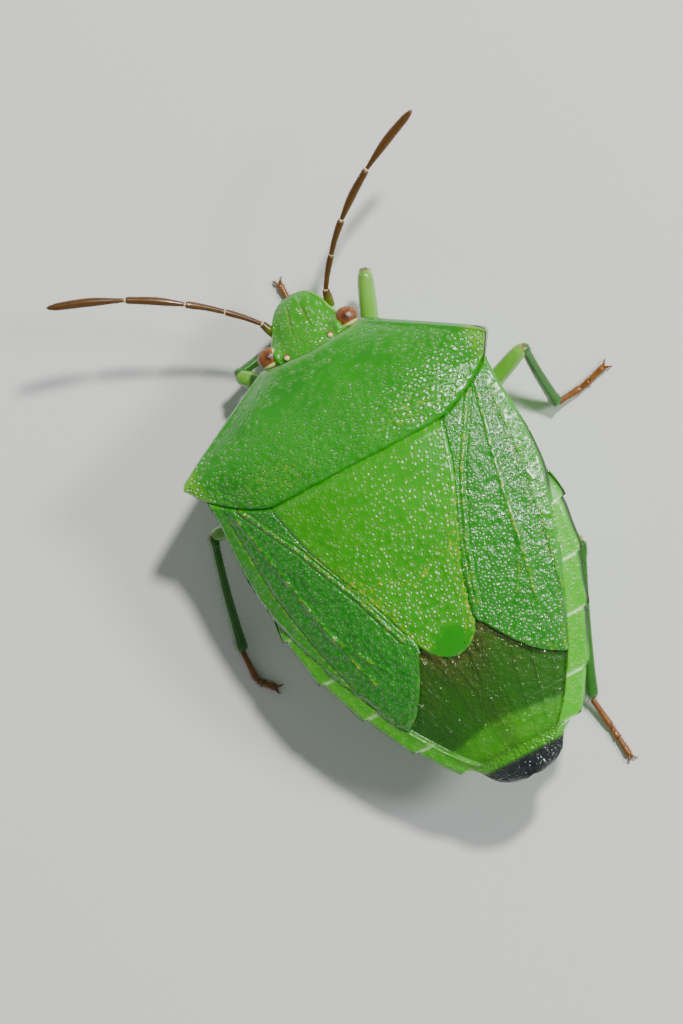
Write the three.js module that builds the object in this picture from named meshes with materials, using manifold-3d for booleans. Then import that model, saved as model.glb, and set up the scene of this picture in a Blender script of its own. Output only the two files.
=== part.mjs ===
// A green shield bug, life size, standing still on its six feet.
// Millimetres, +Z up, head towards -Y, so that the bug's right side is towards -X.
// Stations along the body are y, measured back from the line that joins the shoulder tips.
import * as THREE from "three";
import { mergeVertices } from "three/addons/utils/BufferGeometryUtils.js";
import Module from "manifold-3d";

const wasm = await Module();
wasm.setup();

// Driving sizes.
const GAP = 0.2; // clear space between two neighbouring plates or joints
const SHOULDER_HALF = 3.95; // from the axis to a shoulder tip
const HEAD_TIP_Y = -2.78;
const HEAD_REAR_Y = -1.2;
const COLLAR_Y = -1.42; // front margin of the pronotum, on the axis
const PRONOTUM_REAR_Y = 1.3;
const SHIELD_TIP_Y = 6.15; // the scutellum's rounded tip
const CORIUM_TIP_Y = 7.2; // outer corner of the forewing's leathery part
const ABDOMEN_END_Y = 8.9;
const BODY_END_Y = 9.4; // tip of the folded membranes
const PLATE = 0.5; // thickness of a wing or of a plate's edge
const PRONOTUM_THICK = 0.6;
const FEELER_RADIUS = 0.25;
const FEMUR_RADIUS = 0.27;
const TIBIA_RADIUS = 0.25;
const TARSUS_RADIUS = 0.22;
const VEIN_HEIGHT = 0.07;
const GROOVE_DEPTH = 0.06;
const RIM_WIDTH = 0.42; // bare strip of abdomen beside the folded wings
const TOOTH = 0.09; // how far a segment's rear corner stands out of the rim
const SEGMENT_ENDS = [4.1, 5.35, 6.5, 7.7, 8.6]; // rear corners of the abdomen's bare segments

// A smooth function through [position, value] stops, level outside them.
function profile(stops) {
  const slope = (i) => {
    const a = stops[Math.max(i - 1, 0)];
    const b = stops[Math.min(i + 1, stops.length - 1)];
    return (b[1] - a[1]) / (b[0] - a[0]);
  };
  return (at) => {
    if (at <= stops[0][0]) return stops[0][1];
    const i = stops.findIndex((stop) => stop[0] >= at) - 1;
    if (i < 0) return stops[stops.length - 1][1];
    const span = stops[i + 1][0] - stops[i][0];
    const t = (at - stops[i][0]) / span;
    const rise = stops[i + 1][1] - stops[i][1];
    const a = slope(i) * span - rise;
    const b = -slope(i + 1) * span + rise;
    return stops[i][1] + t * rise + t * (1 - t) * ((1 - t) * a + t * b);
  };
}

// Straight lines through [position, value] stops.
function polyline(stops) {
  return (at) => {
    if (at <= stops[0][0]) return stops[0][1];
    const i = stops.findIndex((stop) => stop[0] >= at) - 1;
    if (i < 0) return stops[stops.length - 1][1];
    const t = (at - stops[i][0]) / (stops[i + 1][0] - stops[i][0]);
    return THREE.MathUtils.lerp(stops[i][1], stops[i + 1][1], t);
  };
}

// The body's form: half-width of its outline, height of its crest, of its edge and of its belly.
const halfWidth = polyline([
  [-1.55, 1.32], [-1.2, 2.0], [-0.6, 3.08], [-0.25, 3.68], [0, SHOULDER_HALF], [0.2, 3.84],
  [0.5, 3.62], [1.0, 3.6], [2.0, 3.66], [3.0, 3.69], [4.1, 3.64], [4.7, 3.55], [5.35, 3.38],
  [5.9, 3.17], [6.5, 2.9], [7.1, 2.6], [7.7, 2.22], [8.2, 1.86], [8.6, 1.5], [8.95, 1.2],
  [9.2, 0.85], [BODY_END_Y, 0.12],
]);
const crest = profile([
  [-1.55, 2.5], [-0.8, 3.1], [0.2, 3.68], [1.3, 3.95], [3.0, 3.93], [4.6, 3.75],
  [SHIELD_TIP_Y, 3.45], [7.8, 3.02], [BODY_END_Y, 2.6],
]);
const edge = profile([
  [-1.55, 2.12], [-0.8, 2.7], [0, 3.15], [1.0, 3.0], [3.0, 2.85], [6.5, 2.6], [8.6, 2.42],
  [BODY_END_Y, 2.4],
]);
const belly = profile([
  [-1.4, 1.7], [-0.4, 1.25], [1.0, 1.0], [3.0, 0.9], [5.0, 0.95], [7.0, 1.25], [8.2, 1.65],
  [ABDOMEN_END_Y, 1.95],
]);
const share = (x, y) => Math.min(Math.abs(x) / halfWidth(y), 1);
const dorsal = (x, y) => edge(y) + (crest(y) - edge(y)) * (1 - share(x, y) ** 2.3);
const underEdge = (y) => edge(y) - PLATE - 0.05;
const ventral = (x, y) => underEdge(y) - (underEdge(y) - belly(y)) * (1 - share(x, y) ** 2.2);

// Outlines of the plates, as half-widths or stations.
const pronotumFront = polyline([
  [0, COLLAR_Y], [1.0, -1.5], [1.32, -1.55], [2.0, -1.2], [3.08, -0.6], [3.68, -0.25],
  [SHOULDER_HALF, -0.03],
]);
const pronotumRear = profile([
  [0, PRONOTUM_REAR_Y], [1.6, 1.3], [2.2, 1.26], [2.8, 1.05], [3.35, 0.72], [3.62, 0.5],
  [3.84, 0.2], [SHOULDER_HALF, 0.03],
]);
const shieldHalf = profile([
  [1.3, 2.2], [2.4, 1.85], [3.3, 1.48], [4.0, 1.18], [5.0, 0.84], [5.5, 0.7], [5.85, 0.52],
  [6.05, 0.3], [SHIELD_TIP_Y, 0.06],
]);
const wingMargin = profile([[3.0, 0], [3.6, 0.15], [4.4, RIM_WIDTH], [BODY_END_Y, RIM_WIDTH]]);
const bareRim = (y) => THREE.MathUtils.smoothstep(y, 3.2, 4.3);
const sawtooth = (y) => {
  const end = SEGMENT_ENDS.find((corner) => corner >= y);
  return end === undefined ? 0 : TOOTH * THREE.MathUtils.smoothstep(y, end - 0.5, end);
};

// A closed three.js geometry as a solid, and a solid as a geometry about its own origin.
function solidOf(geometry) {
  const bare = geometry.clone();
  for (const name of ["normal", "uv"]) bare.deleteAttribute(name);
  const merged = mergeVertices(bare, 1e-4);
  const triangles = new Uint32Array(merged.index.array);
  const make = () =>
    new wasm.Manifold(
      new wasm.Mesh({
        numProp: 3,
        vertProperties: merged.attributes.position.array,
        triVerts: triangles,
      }),
    );
  const made = make();
  if (made.volume() > 0) return made;
  triangles.reverse();
  return make();
}

function largest(solid) {
  return solid.decompose().reduce((a, b) => (a.volume() > b.volume() ? a : b));
}

function geometryOf(solid, origin) {
  const mesh = solid.getMesh();
  const positions = new Float32Array(mesh.numVert * 3);
  for (let i = 0; i < mesh.numVert; i++) {
    for (let k = 0; k < 3; k++) {
      positions[3 * i + k] = mesh.vertProperties[i * mesh.numProp + k] - origin[k];
    }
  }
  const geometry = new THREE.BufferGeometry();
  geometry.setAttribute("position", new THREE.BufferAttribute(positions, 3));
  geometry.setIndex(new THREE.BufferAttribute(mesh.triVerts, 1));
  return geometry;
}

// A plate: the plan gives [x, y] for u across and v back, and both faces are cut alike.
function plate(us, vs, plan, top, bottom) {
  const positions = [];
  const index = [];
  const layer = us.length * vs.length;
  for (const height of [top, bottom]) {
    for (const v of vs) {
      for (const u of us) {
        const [x, y] = plan(u, v);
        positions.push(x, y, height(x, y, u, v));
      }
    }
  }
  const at = (i, j) => j * us.length + i;
  for (let j = 0; j + 1 < vs.length; j++) {
    for (let i = 0; i + 1 < us.length; i++) {
      const [a, b, c, d] = [at(i, j), at(i + 1, j), at(i + 1, j + 1), at(i, j + 1)];
      index.push(a, b, c, a, c, d);
      index.push(a + layer, c + layer, b + layer, a + layer, d + layer, c + layer);
    }
  }
  const wall = (a, b) => index.push(a, a + layer, b, b, a + layer, b + layer);
  for (let i = 0; i + 1 < us.length; i++) {
    wall(at(i, 0), at(i + 1, 0));
    wall(at(i + 1, vs.length - 1), at(i, vs.length - 1));
  }
  for (let j = 0; j + 1 < vs.length; j++) {
    wall(at(us.length - 1, j), at(us.length - 1, j + 1));
    wall(at(0, j + 1), at(0, j));
  }
  const geometry = new THREE.BufferGeometry();
  geometry.setAttribute("position", new THREE.Float32BufferAttribute(positions, 3));
  geometry.setIndex(index);
  return solidOf(geometry);
}

const steps = (from, to, count) =>
  Array.from({ length: count + 1 }, (_, i) => THREE.MathUtils.lerp(from, to, i / count));
const sorted = (values) => [...new Set(values)].sort((a, b) => a - b);

// A limb between two points, turned on a lathe: radii are [share of its length, radius] stops.
function limb(from, to, radii, sides = 10) {
  const a = new THREE.Vector3(...from);
  const along = new THREE.Vector3(...to).sub(a);
  const outline = radii.map(([t, r]) => new THREE.Vector2(r, t * along.length()));
  outline.unshift(new THREE.Vector2(0, outline[0].y));
  outline.push(new THREE.Vector2(0, outline[outline.length - 1].y));
  const geometry = new THREE.LatheGeometry(outline, sides);
  const turn = new THREE.Quaternion().setFromUnitVectors(
    new THREE.Vector3(0, 1, 0),
    along.clone().normalize(),
  );
  geometry.applyQuaternion(turn);
  geometry.translate(a.x, a.y, a.z);
  return solidOf(geometry);
}

function ball(centre, radii, across = 12, down = 8) {
  const geometry = new THREE.SphereGeometry(1, across, down);
  geometry.scale(...radii);
  geometry.translate(...centre);
  return solidOf(geometry);
}

const join = (solids) => solids.reduce((a, b) => a.add(b));
const lift = (height, by) => (x, y, u, v) => height(x, y, u, v) + by;

// Colour and finish of each material.
const finish = (colour, roughness) =>
  new THREE.MeshStandardMaterial({ color: colour, roughness, metalness: 0 });
const MATERIALS = {
  shell: finish(0x3f9a1f, 0.35),
  wing: finish(0x2f8a24, 0.32),
  membrane: finish(0x355f24, 0.2),
  rim: finish(0x5fb82c, 0.4),
  underside: finish(0x6fae3c, 0.5),
  limb: finish(0x5a9a33, 0.4),
  foot: finish(0x8a4a1c, 0.45),
  feeler: finish(0x6b3a12, 0.45),
  eye: finish(0x7a4126, 0.3),
};

const bug = new THREE.Group();
function place(name, solid, origin, material) {
  const mesh = new THREE.Mesh(geometryOf(largest(solid), origin), material);
  mesh.name = name;
  mesh.position.set(...origin);
  bug.add(mesh);
}

// The pronotum, from the collar behind the head to the shoulder tips and the scutellum.
function pronotum() {
  const us = sorted([
    ...steps(-3.6, 3.6, 20), 0, -2.2, 2.2, -3.84, 3.84, -SHOULDER_HALF, SHOULDER_HALF,
  ]);
  const plan = (u, v) => [
    u,
    THREE.MathUtils.lerp(pronotumFront(Math.abs(u)), pronotumRear(Math.abs(u)), v),
  ];
  const thick = (x) => PLATE + (PRONOTUM_THICK - PLATE) * (1 - (x / SHOULDER_HALF) ** 2);
  return plate(us, steps(0, 1, 9), plan, dorsal, (x, y) => dorsal(x, y) - thick(x));
}

// The scutellum, the large triangular shield between the wings.
function scutellum() {
  const frontY = PRONOTUM_REAR_Y + GAP;
  const vs = [0, 0.1, 0.22, 0.35, 0.48, 0.6, 0.72, 0.82, 0.9, 0.95, 0.98, 1];
  const plan = (u, v) => {
    const y = THREE.MathUtils.lerp(frontY, SHIELD_TIP_Y, v);
    return [u * shieldHalf(y), y];
  };
  return plate(steps(-1, 1, 12), vs, plan, dorsal, lift(dorsal, -PLATE - 0.1));
}

// Boundaries of a forewing's leathery part, outwards from the axis.
const CORIUM_INNER_END = [0.82, 5.72];
const coriumOuter = (y) => halfWidth(y) - wingMargin(y);
const CORIUM_OUTER_END = [coriumOuter(CORIUM_TIP_Y), CORIUM_TIP_Y];
const coriumInner = (v) => {
  const y = THREE.MathUtils.lerp(PRONOTUM_REAR_Y + 0.14, CORIUM_INNER_END[1], v);
  return [shieldHalf(y) + GAP, y];
};
const coriumEdge = (v) => {
  const y = THREE.MathUtils.lerp(0.74, CORIUM_TIP_Y, v);
  return [coriumOuter(y), y];
};
const coriumFront = (u) => {
  const x = THREE.MathUtils.lerp(coriumInner(0)[0], coriumEdge(0)[0], u);
  return [x, Math.max(pronotumRear(x) + GAP, 0.74)];
};
const coriumRear = (u) => [
  THREE.MathUtils.lerp(coriumInner(1)[0], CORIUM_OUTER_END[0], u),
  THREE.MathUtils.lerp(CORIUM_INNER_END[1], CORIUM_TIP_Y, u) + 0.25 * Math.sin(Math.PI * u),
];

// A patch stretched between four boundary curves: front and rear run out, inner and outer run back.
function patch(front, rear, inner, outer) {
  const mix = THREE.MathUtils.lerp;
  return (u, v) =>
    [0, 1].map((k) => {
      const across = mix(inner(v)[k], outer(v)[k], u);
      const back = mix(front(u)[k], rear(u)[k], v);
      const corners = mix(mix(front(0)[k], front(1)[k], u), mix(rear(0)[k], rear(1)[k], u), v);
      return across + back - corners;
    });
}

// Height of the veins that run back through a wing: a ridge at each share across it.
const VEIN_HALF = 0.03;
const ridges = (veins) => (u) =>
  veins.some((vein) => Math.abs(u - vein) < VEIN_HALF / 2) ? VEIN_HEIGHT : 0;
const veinColumns = (veins) => veins.flatMap((vein) => [vein - VEIN_HALF, vein, vein + VEIN_HALF]);

const CORIUM_VEINS = [0.22, 0.52, 0.78];
function forewing(side) {
  const outline = patch(coriumFront, coriumRear, coriumInner, coriumEdge);
  const plan = (u, v) => {
    const [x, y] = outline(u, v);
    return [side * x, y];
  };
  const us = sorted([...steps(0, 1, 6), ...veinColumns(CORIUM_VEINS)]);
  const vein = ridges(CORIUM_VEINS);
  const top = (x, y, u) => dorsal(x, y) + vein(u) - 0.03;
  return plate(us, steps(0, 1, 14), plan, top, (x, y) => dorsal(x, y) - PLATE);
}

// The clear membranes meet behind the scutellum, the left one lying up to the right one.
const MEMBRANE_VEINS = [0.25, 0.5, 0.75];
const membraneOuter = (y) => {
  const rim = y < ABDOMEN_END_Y ? RIM_WIDTH : RIM_WIDTH * 0.4;
  return Math.max(halfWidth(y) - rim, 0.3);
};
function membrane(side) {
  const seam = GAP / 2;
  const rear = (u) => coriumRear(u).map((value, k) => value + (k === 1 ? GAP : 0));
  const front = (u) => {
    const behindShield = [seam, SHIELD_TIP_Y + GAP];
    if (u < 0.3) {
      return behindShield.map((value, k) => THREE.MathUtils.lerp(value, rear(0)[k], u / 0.3));
    }
    return rear((u - 0.3) / 0.7);
  };
  const outer = (v) => {
    const y = THREE.MathUtils.lerp(front(1)[1], BODY_END_Y - 0.2, v);
    return [v === 0 ? front(1)[0] : membraneOuter(y), y];
  };
  const inner = (v) => [seam, THREE.MathUtils.lerp(front(0)[1], BODY_END_Y, v)];
  const end = (u) => [
    THREE.MathUtils.lerp(inner(1)[0], outer(1)[0], u),
    THREE.MathUtils.lerp(BODY_END_Y, BODY_END_Y - 0.2, u * u),
  ];
  const outline = patch(front, end, inner, outer);
  const plan = (u, v) => {
    const [x, y] = outline(u, v);
    return [side * x, y];
  };
  const us = sorted([...steps(0, 1, 4), 0.3, ...veinColumns(MEMBRANE_VEINS)]);
  const vein = ridges(MEMBRANE_VEINS);
  const top = (x, y, u) => dorsal(x, y) + vein(u) - 0.05;
  return plate(us, steps(0, 1, 9), plan, top, (x, y) => dorsal(x, y) - PLATE);
}

// Thorax: the deep body under the pronotum and the wing bases, which carries the legs.
const THORAX_SPAN = [-1.15, 3.3];
const thoraxHalf = (y) => halfWidth(y) - 0.4 - 0.25 * THREE.MathUtils.smoothstep(0.6 - y, 0, 1);
const thoraxTop = (x, y) => {
  const cover = y < PRONOTUM_REAR_Y + GAP ? PRONOTUM_THICK : PLATE + 0.1;
  return dorsal(x, y) - cover - GAP;
};
const underside = (x, y) => Math.min(ventral(x, y), thoraxTop(x, y) - 0.35);
function thorax() {
  const vs = sorted([...steps(0, 1, 10), 0.59, 0.6]);
  const plan = (u, v) => {
    const y = THREE.MathUtils.lerp(...THORAX_SPAN, v);
    return [u * thoraxHalf(y), y];
  };
  return plate(steps(-1, 1, 16), vs, plan, thoraxTop, underside);
}

// Abdomen: hollowed for the folded wings, with a bare toothed rim and a groove at each segment.
function abdomen() {
  const span = [THORAX_SPAN[1] + GAP, ABDOMEN_END_Y];
  const around = SEGMENT_ENDS.flatMap((y) => [y - 0.12, y, y + 0.02, y + 0.14]);
  const ys = sorted([...span, ...around, 3.8, 4.7, 5.9, 7.1, 8.15]).filter(
    (y) => y >= span[0] && y <= span[1],
  );
  const vs = ys.map((y) => (y - span[0]) / (span[1] - span[0]));
  const inset = (y) => 0.35 * (1 - bareRim(y));
  const rimInner = (y) => halfWidth(y) - RIM_WIDTH;
  const stepAt = 0.8;
  const us = sorted([...steps(-0.8, 0.8, 10), -0.82, 0.82, -0.92, 0.92, -1, 1]);
  const plan = (u, v) => {
    const y = THREE.MathUtils.lerp(...span, v);
    const out = halfWidth(y) + sawtooth(y) - inset(y);
    const inner = Math.min(rimInner(y) + GAP, out - 0.2) - 0.04;
    const size = Math.abs(u);
    const x =
      size <= stepAt
        ? (inner * size) / stepAt
        : THREE.MathUtils.lerp(inner, out, (size - stepAt) / (1 - stepAt));
    return [Math.sign(u) * x, y];
  };
  const groove = (y) => (SEGMENT_ENDS.some((end) => Math.abs(end + 0.02 - y) < 0.015) ? 1 : 0);
  const top = (x, y, u) => {
    const low = dorsal(x, y) - PLATE - GAP;
    const rim = dorsal(x, y) - 0.06 - GROOVE_DEPTH * groove(y);
    return Math.abs(u) > stepAt + 0.01 ? THREE.MathUtils.lerp(low, rim, bareRim(y)) : low;
  };
  const bottom = (x, y, u) =>
    Math.min(ventral(x, y), top(x, y, u) - 0.3) + GROOVE_DEPTH * groove(y);
  return plate(us, vs, plan, top, bottom);
}

// Head: a flat wedge with sharp side lobes, round in front, lower than the pronotum.
const headHalf = profile([
  [HEAD_TIP_Y, 0.1], [-2.74, 0.3], [-2.62, 0.5], [-2.4, 0.66], [-2.1, 0.78], [-1.95, 0.86],
  [-1.6, 0.98], [HEAD_REAR_Y, 1.0],
]);
const headCrest = profile([
  [HEAD_TIP_Y, 1.78], [-2.4, 2.05], [-1.9, 2.32], [-1.5, 2.5], [HEAD_REAR_Y, 2.52],
]);
const headEdge = profile([[HEAD_TIP_Y, 1.7], [-2.4, 1.85], [-1.9, 2.05], [HEAD_REAR_Y, 2.15]]);
const headBelly = profile([[HEAD_TIP_Y, 1.4], [-2.4, 1.3], [-1.8, 1.25], [HEAD_REAR_Y, 1.35]]);
const EYE_CENTRE = [1.02, -1.74, 2.1];
const EYE_RADII = [0.29, 0.25, 0.26];
const OCELLUS = [0.57, -1.6, 2.36];
// The head grown by a margin, whose own form is at a margin of 0 and which cuts its neighbours.
function headForm(margin) {
  const front = HEAD_TIP_Y - margin;
  const rear = COLLAR_Y - GAP + margin;
  const vs = [0, 0.03, 0.1, 0.2, 0.35, 0.5, 0.65, 0.8, 0.9, 1];
  const plan = (u, v) => {
    const y = THREE.MathUtils.lerp(front, rear, v);
    return [u * (headHalf(y + margin * (1 - v)) + margin), y];
  };
  const arch = (u) => 1 - Math.abs(u) ** 2.4;
  const lobeGroove = (u) => (Math.abs(Math.abs(u) - 0.25) < 0.01 ? 0.04 : 0);
  const top = (x, y, u) =>
    headEdge(y) + (headCrest(y) - headEdge(y)) * arch(u) - lobeGroove(u) + margin;
  const bottom = (x, y, u) =>
    headEdge(y) - 0.22 - (headEdge(y) - 0.22 - headBelly(y)) * arch(u) - margin;
  const us = sorted([...steps(-1, 1, 12), -0.25, 0.25]);
  return plate(us, vs, plan, top, bottom);
}
function head() {
  const on = (side, [x, y, z]) => [side * x, y, z];
  const grown = EYE_RADII.map((r) => r + 0.1);
  const sockets = [-1, 1].map((side) => ball(on(side, EYE_CENTRE), grown));
  const ocelli = [-1, 1].map((side) => ball(on(side, OCELLUS), [0.1, 0.1, 0.12], 8, 6));
  return join([headForm(0), ...ocelli]).subtract(join(sockets));
}
function eye(side) {
  const [x, y, z] = EYE_CENTRE;
  return ball([side * x, y, z], EYE_RADII);
}

// Antennae: five joints each, raised outwards and forwards, on points named for the left one.
const FEELER_POINTS = [
  [0.74, -2.12, 1.72], [0.84, -2.5, 1.9], [1.4, -3.13, 2.18], [2.06, -3.7, 2.48],
  [3.18, -4.42, 2.76], [4.8, -5.09, 3.05],
];
function antenna(side) {
  const points = FEELER_POINTS.map(([x, y, z]) => [side * x, y, z]);
  const joints = points.slice(1).map((point, i) => {
    const last = i === points.length - 2;
    const r = FEELER_RADIUS;
    const radii = last
      ? [[-0.03, r * 0.8], [0.1, r], [0.6, r * 1.04], [0.88, r * 0.8], [1, r * 0.3]]
      : [[-0.04, r * 0.8], [0.12, r * 0.96], [0.88, r], [1.03, r * 0.84]];
    return limb(points[i], point, radii, 10);
  });
  return join(joints).subtract(headForm(GAP * 0.75));
}

// The beak, folded back under the body between the hips.
const BEAK_POINTS = [[0, -2.25, 0.98], [0, -1.2, 0.74], [0, 0.5, 0.52], [0, 1.7, 0.46]];
function beak() {
  const joints = BEAK_POINTS.slice(1).map((point, i) => {
    const last = i === BEAK_POINTS.length - 2;
    const end = last ? [[0.9, 0.2], [1.04, 0.1]] : [[0.9, 0.24], [1.04, 0.2]];
    return limb(BEAK_POINTS[i], point, [[-0.04, 0.2], [0.1, 0.24], ...end], 8);
  });
  return join(joints).subtract(headForm(GAP));
}

// Legs: each point is [out from the axis, back, up], and a foot runs on the floor past its bend.
const LEGS = {
  leg_front_right: {
    side: -1, hip: [0.75, -0.4, 0.8], knee: [1.71, -2.5, 1.3],
    ankle: [0.85, -1.05], bend: [0.5, -1.35], toe: [0.1, -1.8],
  },
  leg_front_left: {
    side: 1, hip: [0.75, -0.4, 0.8], knee: [2.1, -1.75, 1.25],
    ankle: [0.62, -2.1], bend: [0.5, -2.6], toe: [0.5, -3.15],
  },
  leg_middle_right: {
    side: -1, hip: [1.2, 1.8, 0.85], knee: [4.25, 0.72, 1.85],
    ankle: [3.96, 2.2], bend: [4.6, 2.15], toe: [5.27, 1.97],
  },
  leg_middle_left: {
    side: 1, hip: [1.2, 1.8, 0.85], knee: [4.34, 1.19, 1.35],
    ankle: [5.29, 3.85], bend: [5.36, 4.6], toe: [5.05, 4.93],
  },
  leg_hind_right: {
    side: -1, hip: [0.85, 2.95, 0.85], knee: [3.2, 5.2, 1.3],
    ankle: [1.46, 8.5], bend: [1.5, 9.3], toe: [1.57, 10.04],
  },
  leg_hind_left: {
    side: 1, hip: [0.85, 2.95, 0.85], knee: [3.2, 4.2, 1.3],
    ankle: [2.5, 7.4], bend: [2.15, 8.05], toe: [1.65, 8.65],
  },
};
const ANKLE_UP = 0.3;
const SOLE_UP = 0.17; // a foot's axis above the floor, so that its sole is cut flat

const femurRadii = (grow) => [
  [-0.02 - grow * 0.05, 0.2 + grow], [0.08, FEMUR_RADIUS * 0.9 + grow], [0.55, FEMUR_RADIUS + grow],
  [0.93, FEMUR_RADIUS * 0.92 + grow], [1 + grow * 0.1, FEMUR_RADIUS * 0.6 + grow],
];
const tibiaRadii = (grow) => [
  [0, TIBIA_RADIUS * 0.7 + grow], [0.08, TIBIA_RADIUS * 0.96 + grow],
  [0.9, TIBIA_RADIUS * 0.92 + grow], [1, TIBIA_RADIUS * 0.66 + grow],
];

const floorCut = () => {
  const box = new THREE.BoxGeometry(30, 30, 4);
  box.translate(0, 2, -2);
  return solidOf(box);
};

function leg(name, { side, hip, knee, ankle, bend, toe }) {
  const at = ([out, back, up]) => [side * out, back, up];
  const anklePoint = at([ankle[0], ankle[1], ANKLE_UP + TIBIA_RADIUS * 0.5]);
  const femurLine = [at(hip), at(knee)];
  const torso = plate(
    steps(-1, 1, 16),
    steps(0, 1, 14),
    (u, v) => {
      const y = THREE.MathUtils.lerp(-1.9, 5.5, v);
      return [u * (halfWidth(y) + GAP), y];
    },
    lift(dorsal, 1),
    lift(underside, -GAP * 0.8),
  );
  const femur = limb(...femurLine, femurRadii(0)).subtract(torso);
  const femurGrown = limb(...femurLine, femurRadii(GAP * 0.7));
  const tibia = limb(at(knee), anklePoint, tibiaRadii(0)).subtract(femurGrown);
  const tibiaGrown = limb(at(knee), anklePoint, tibiaRadii(GAP * 0.7));
  const r = TARSUS_RADIUS;
  const track = [ankle, bend, toe].map(([out, back]) => at([out, back, SOLE_UP]));
  const forward = new THREE.Vector3(...track[2]).sub(new THREE.Vector3(...track[1])).normalize();
  const middle = track[1].map((value, k) => THREE.MathUtils.lerp(value, track[2][k], 0.45));
  const claws = [-1, 1].map((spread) => {
    const root = track[2].map((value, k) => value - forward.toArray()[k] * 0.16);
    const tip = [
      track[2][0] + forward.x * 0.16 - spread * forward.y * 0.2,
      track[2][1] + forward.y * 0.16 + spread * forward.x * 0.2,
      0.08,
    ];
    return limb(root, tip, [[0, 0.12], [0.6, 0.1], [1, 0.03]], 6);
  });
  const bulge = [[-0.05, r * 0.7], [0.15, r * 0.92], [0.85, r], [1.04, r * 0.75]];
  const tarsus = join([
    limb(track[0], track[1], bulge, 8),
    limb(track[1], middle, bulge, 8),
    limb(middle, track[2], bulge, 8),
    ...claws,
  ])
    .subtract(floorCut())
    .subtract(tibiaGrown);
  place(`${name}_femur`, femur, at(hip), MATERIALS.limb);
  place(`${name}_tibia`, tibia, at(knee), MATERIALS.limb);
  place(`${name}_tarsus`, tarsus, at([ankle[0], ankle[1], 0]), MATERIALS.foot);
}

place("pronotum", pronotum(), [0, 0, edge(0)], MATERIALS.shell);
place("scutellum", scutellum(), [0, PRONOTUM_REAR_Y, crest(PRONOTUM_REAR_Y)], MATERIALS.shell);
place("thorax", thorax(), [0, 1, belly(1)], MATERIALS.underside);
place("abdomen", abdomen(), [0, THORAX_SPAN[1], belly(3)], MATERIALS.rim);
place("head", head(), [0, HEAD_REAR_Y, headCrest(HEAD_REAR_Y)], MATERIALS.shell);
place("beak", beak(), BEAK_POINTS[0], MATERIALS.underside);
for (const [word, side] of [["left", 1], ["right", -1]]) {
  const on = ([x, y, z]) => [side * x, y, z];
  place(`eye_${word}`, eye(side), on(EYE_CENTRE), MATERIALS.eye);
  place(`antenna_${word}`, antenna(side), on(FEELER_POINTS[0]), MATERIALS.feeler);
  place(`forewing_${word}`, forewing(side), on([3.3, 0.9, edge(0.9)]), MATERIALS.wing);
  const root = on([0.3, SHIELD_TIP_Y, crest(SHIELD_TIP_Y)]);
  place(`membrane_${word}`, membrane(side), root, MATERIALS.membrane);
}
for (const [name, points] of Object.entries(LEGS)) leg(name, points);

// The part's origin is on the floor, under the middle of everything that it holds.
const reach = new THREE.Box3().setFromObject(bug, true);
bug.position.set(-(reach.min.x + reach.max.x) / 2, -(reach.min.y + reach.max.y) / 2, -reach.min.z);

export default bug;
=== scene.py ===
"""A green shield bug, life size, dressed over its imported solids.

The bug's own frame is in millimetres: x to its left, y back from the line that joins the shoulder tips,
and z up from the floor. Meshes are written in metres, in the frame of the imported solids.
"""

import logging
import math
from collections.abc import Iterable, Sequence
from dataclasses import dataclass, field
from enum import Enum

import bpy
import numpy as np
from mathutils import Matrix, Vector, kdtree


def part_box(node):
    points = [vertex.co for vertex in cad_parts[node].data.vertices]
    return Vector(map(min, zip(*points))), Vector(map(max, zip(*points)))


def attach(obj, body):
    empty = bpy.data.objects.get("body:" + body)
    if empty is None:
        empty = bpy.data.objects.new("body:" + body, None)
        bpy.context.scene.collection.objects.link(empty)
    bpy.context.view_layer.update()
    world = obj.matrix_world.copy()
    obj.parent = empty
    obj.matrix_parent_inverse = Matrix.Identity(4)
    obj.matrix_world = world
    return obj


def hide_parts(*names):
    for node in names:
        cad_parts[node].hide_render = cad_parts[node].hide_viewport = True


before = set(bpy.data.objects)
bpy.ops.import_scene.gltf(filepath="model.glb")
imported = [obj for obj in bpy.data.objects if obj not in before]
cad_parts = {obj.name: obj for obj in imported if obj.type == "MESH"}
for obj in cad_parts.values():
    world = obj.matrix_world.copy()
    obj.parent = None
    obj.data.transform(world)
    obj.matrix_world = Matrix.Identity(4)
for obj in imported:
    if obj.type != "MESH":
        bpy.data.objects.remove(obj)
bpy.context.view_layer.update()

LOG = logging.getLogger("shield_bug")
MM = 0.001
Array = np.ndarray
Stops = Sequence[tuple[float, float]]
Route = Sequence[tuple[float, float]]
Point = tuple[float, float, float]
Masks = dict[str, Array]
Colour = tuple[int, int, int]

# Places on the body that several parts share, in millimetres.
SHOULDER_HALF = 3.95
HEAD_TIP_Y = -2.78
COLLAR_REACH = -1.55
PRONOTUM_REAR_Y = 1.3
SHIELD_TIP_Y = 6.15
CORIUM_TIP_Y = 7.2
ABDOMEN_END_Y = 8.88
BODY_END_Y = 9.4
SEGMENT_ENDS = (4.1, 5.35, 6.5, 7.7, 8.6)

# The abdomen's bare rim and the teeth along it, in millimetres, a little finer than in the solids.
RIM_WIDTH = 0.46
TOOTH = 0.07


# Small mathematics


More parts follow.
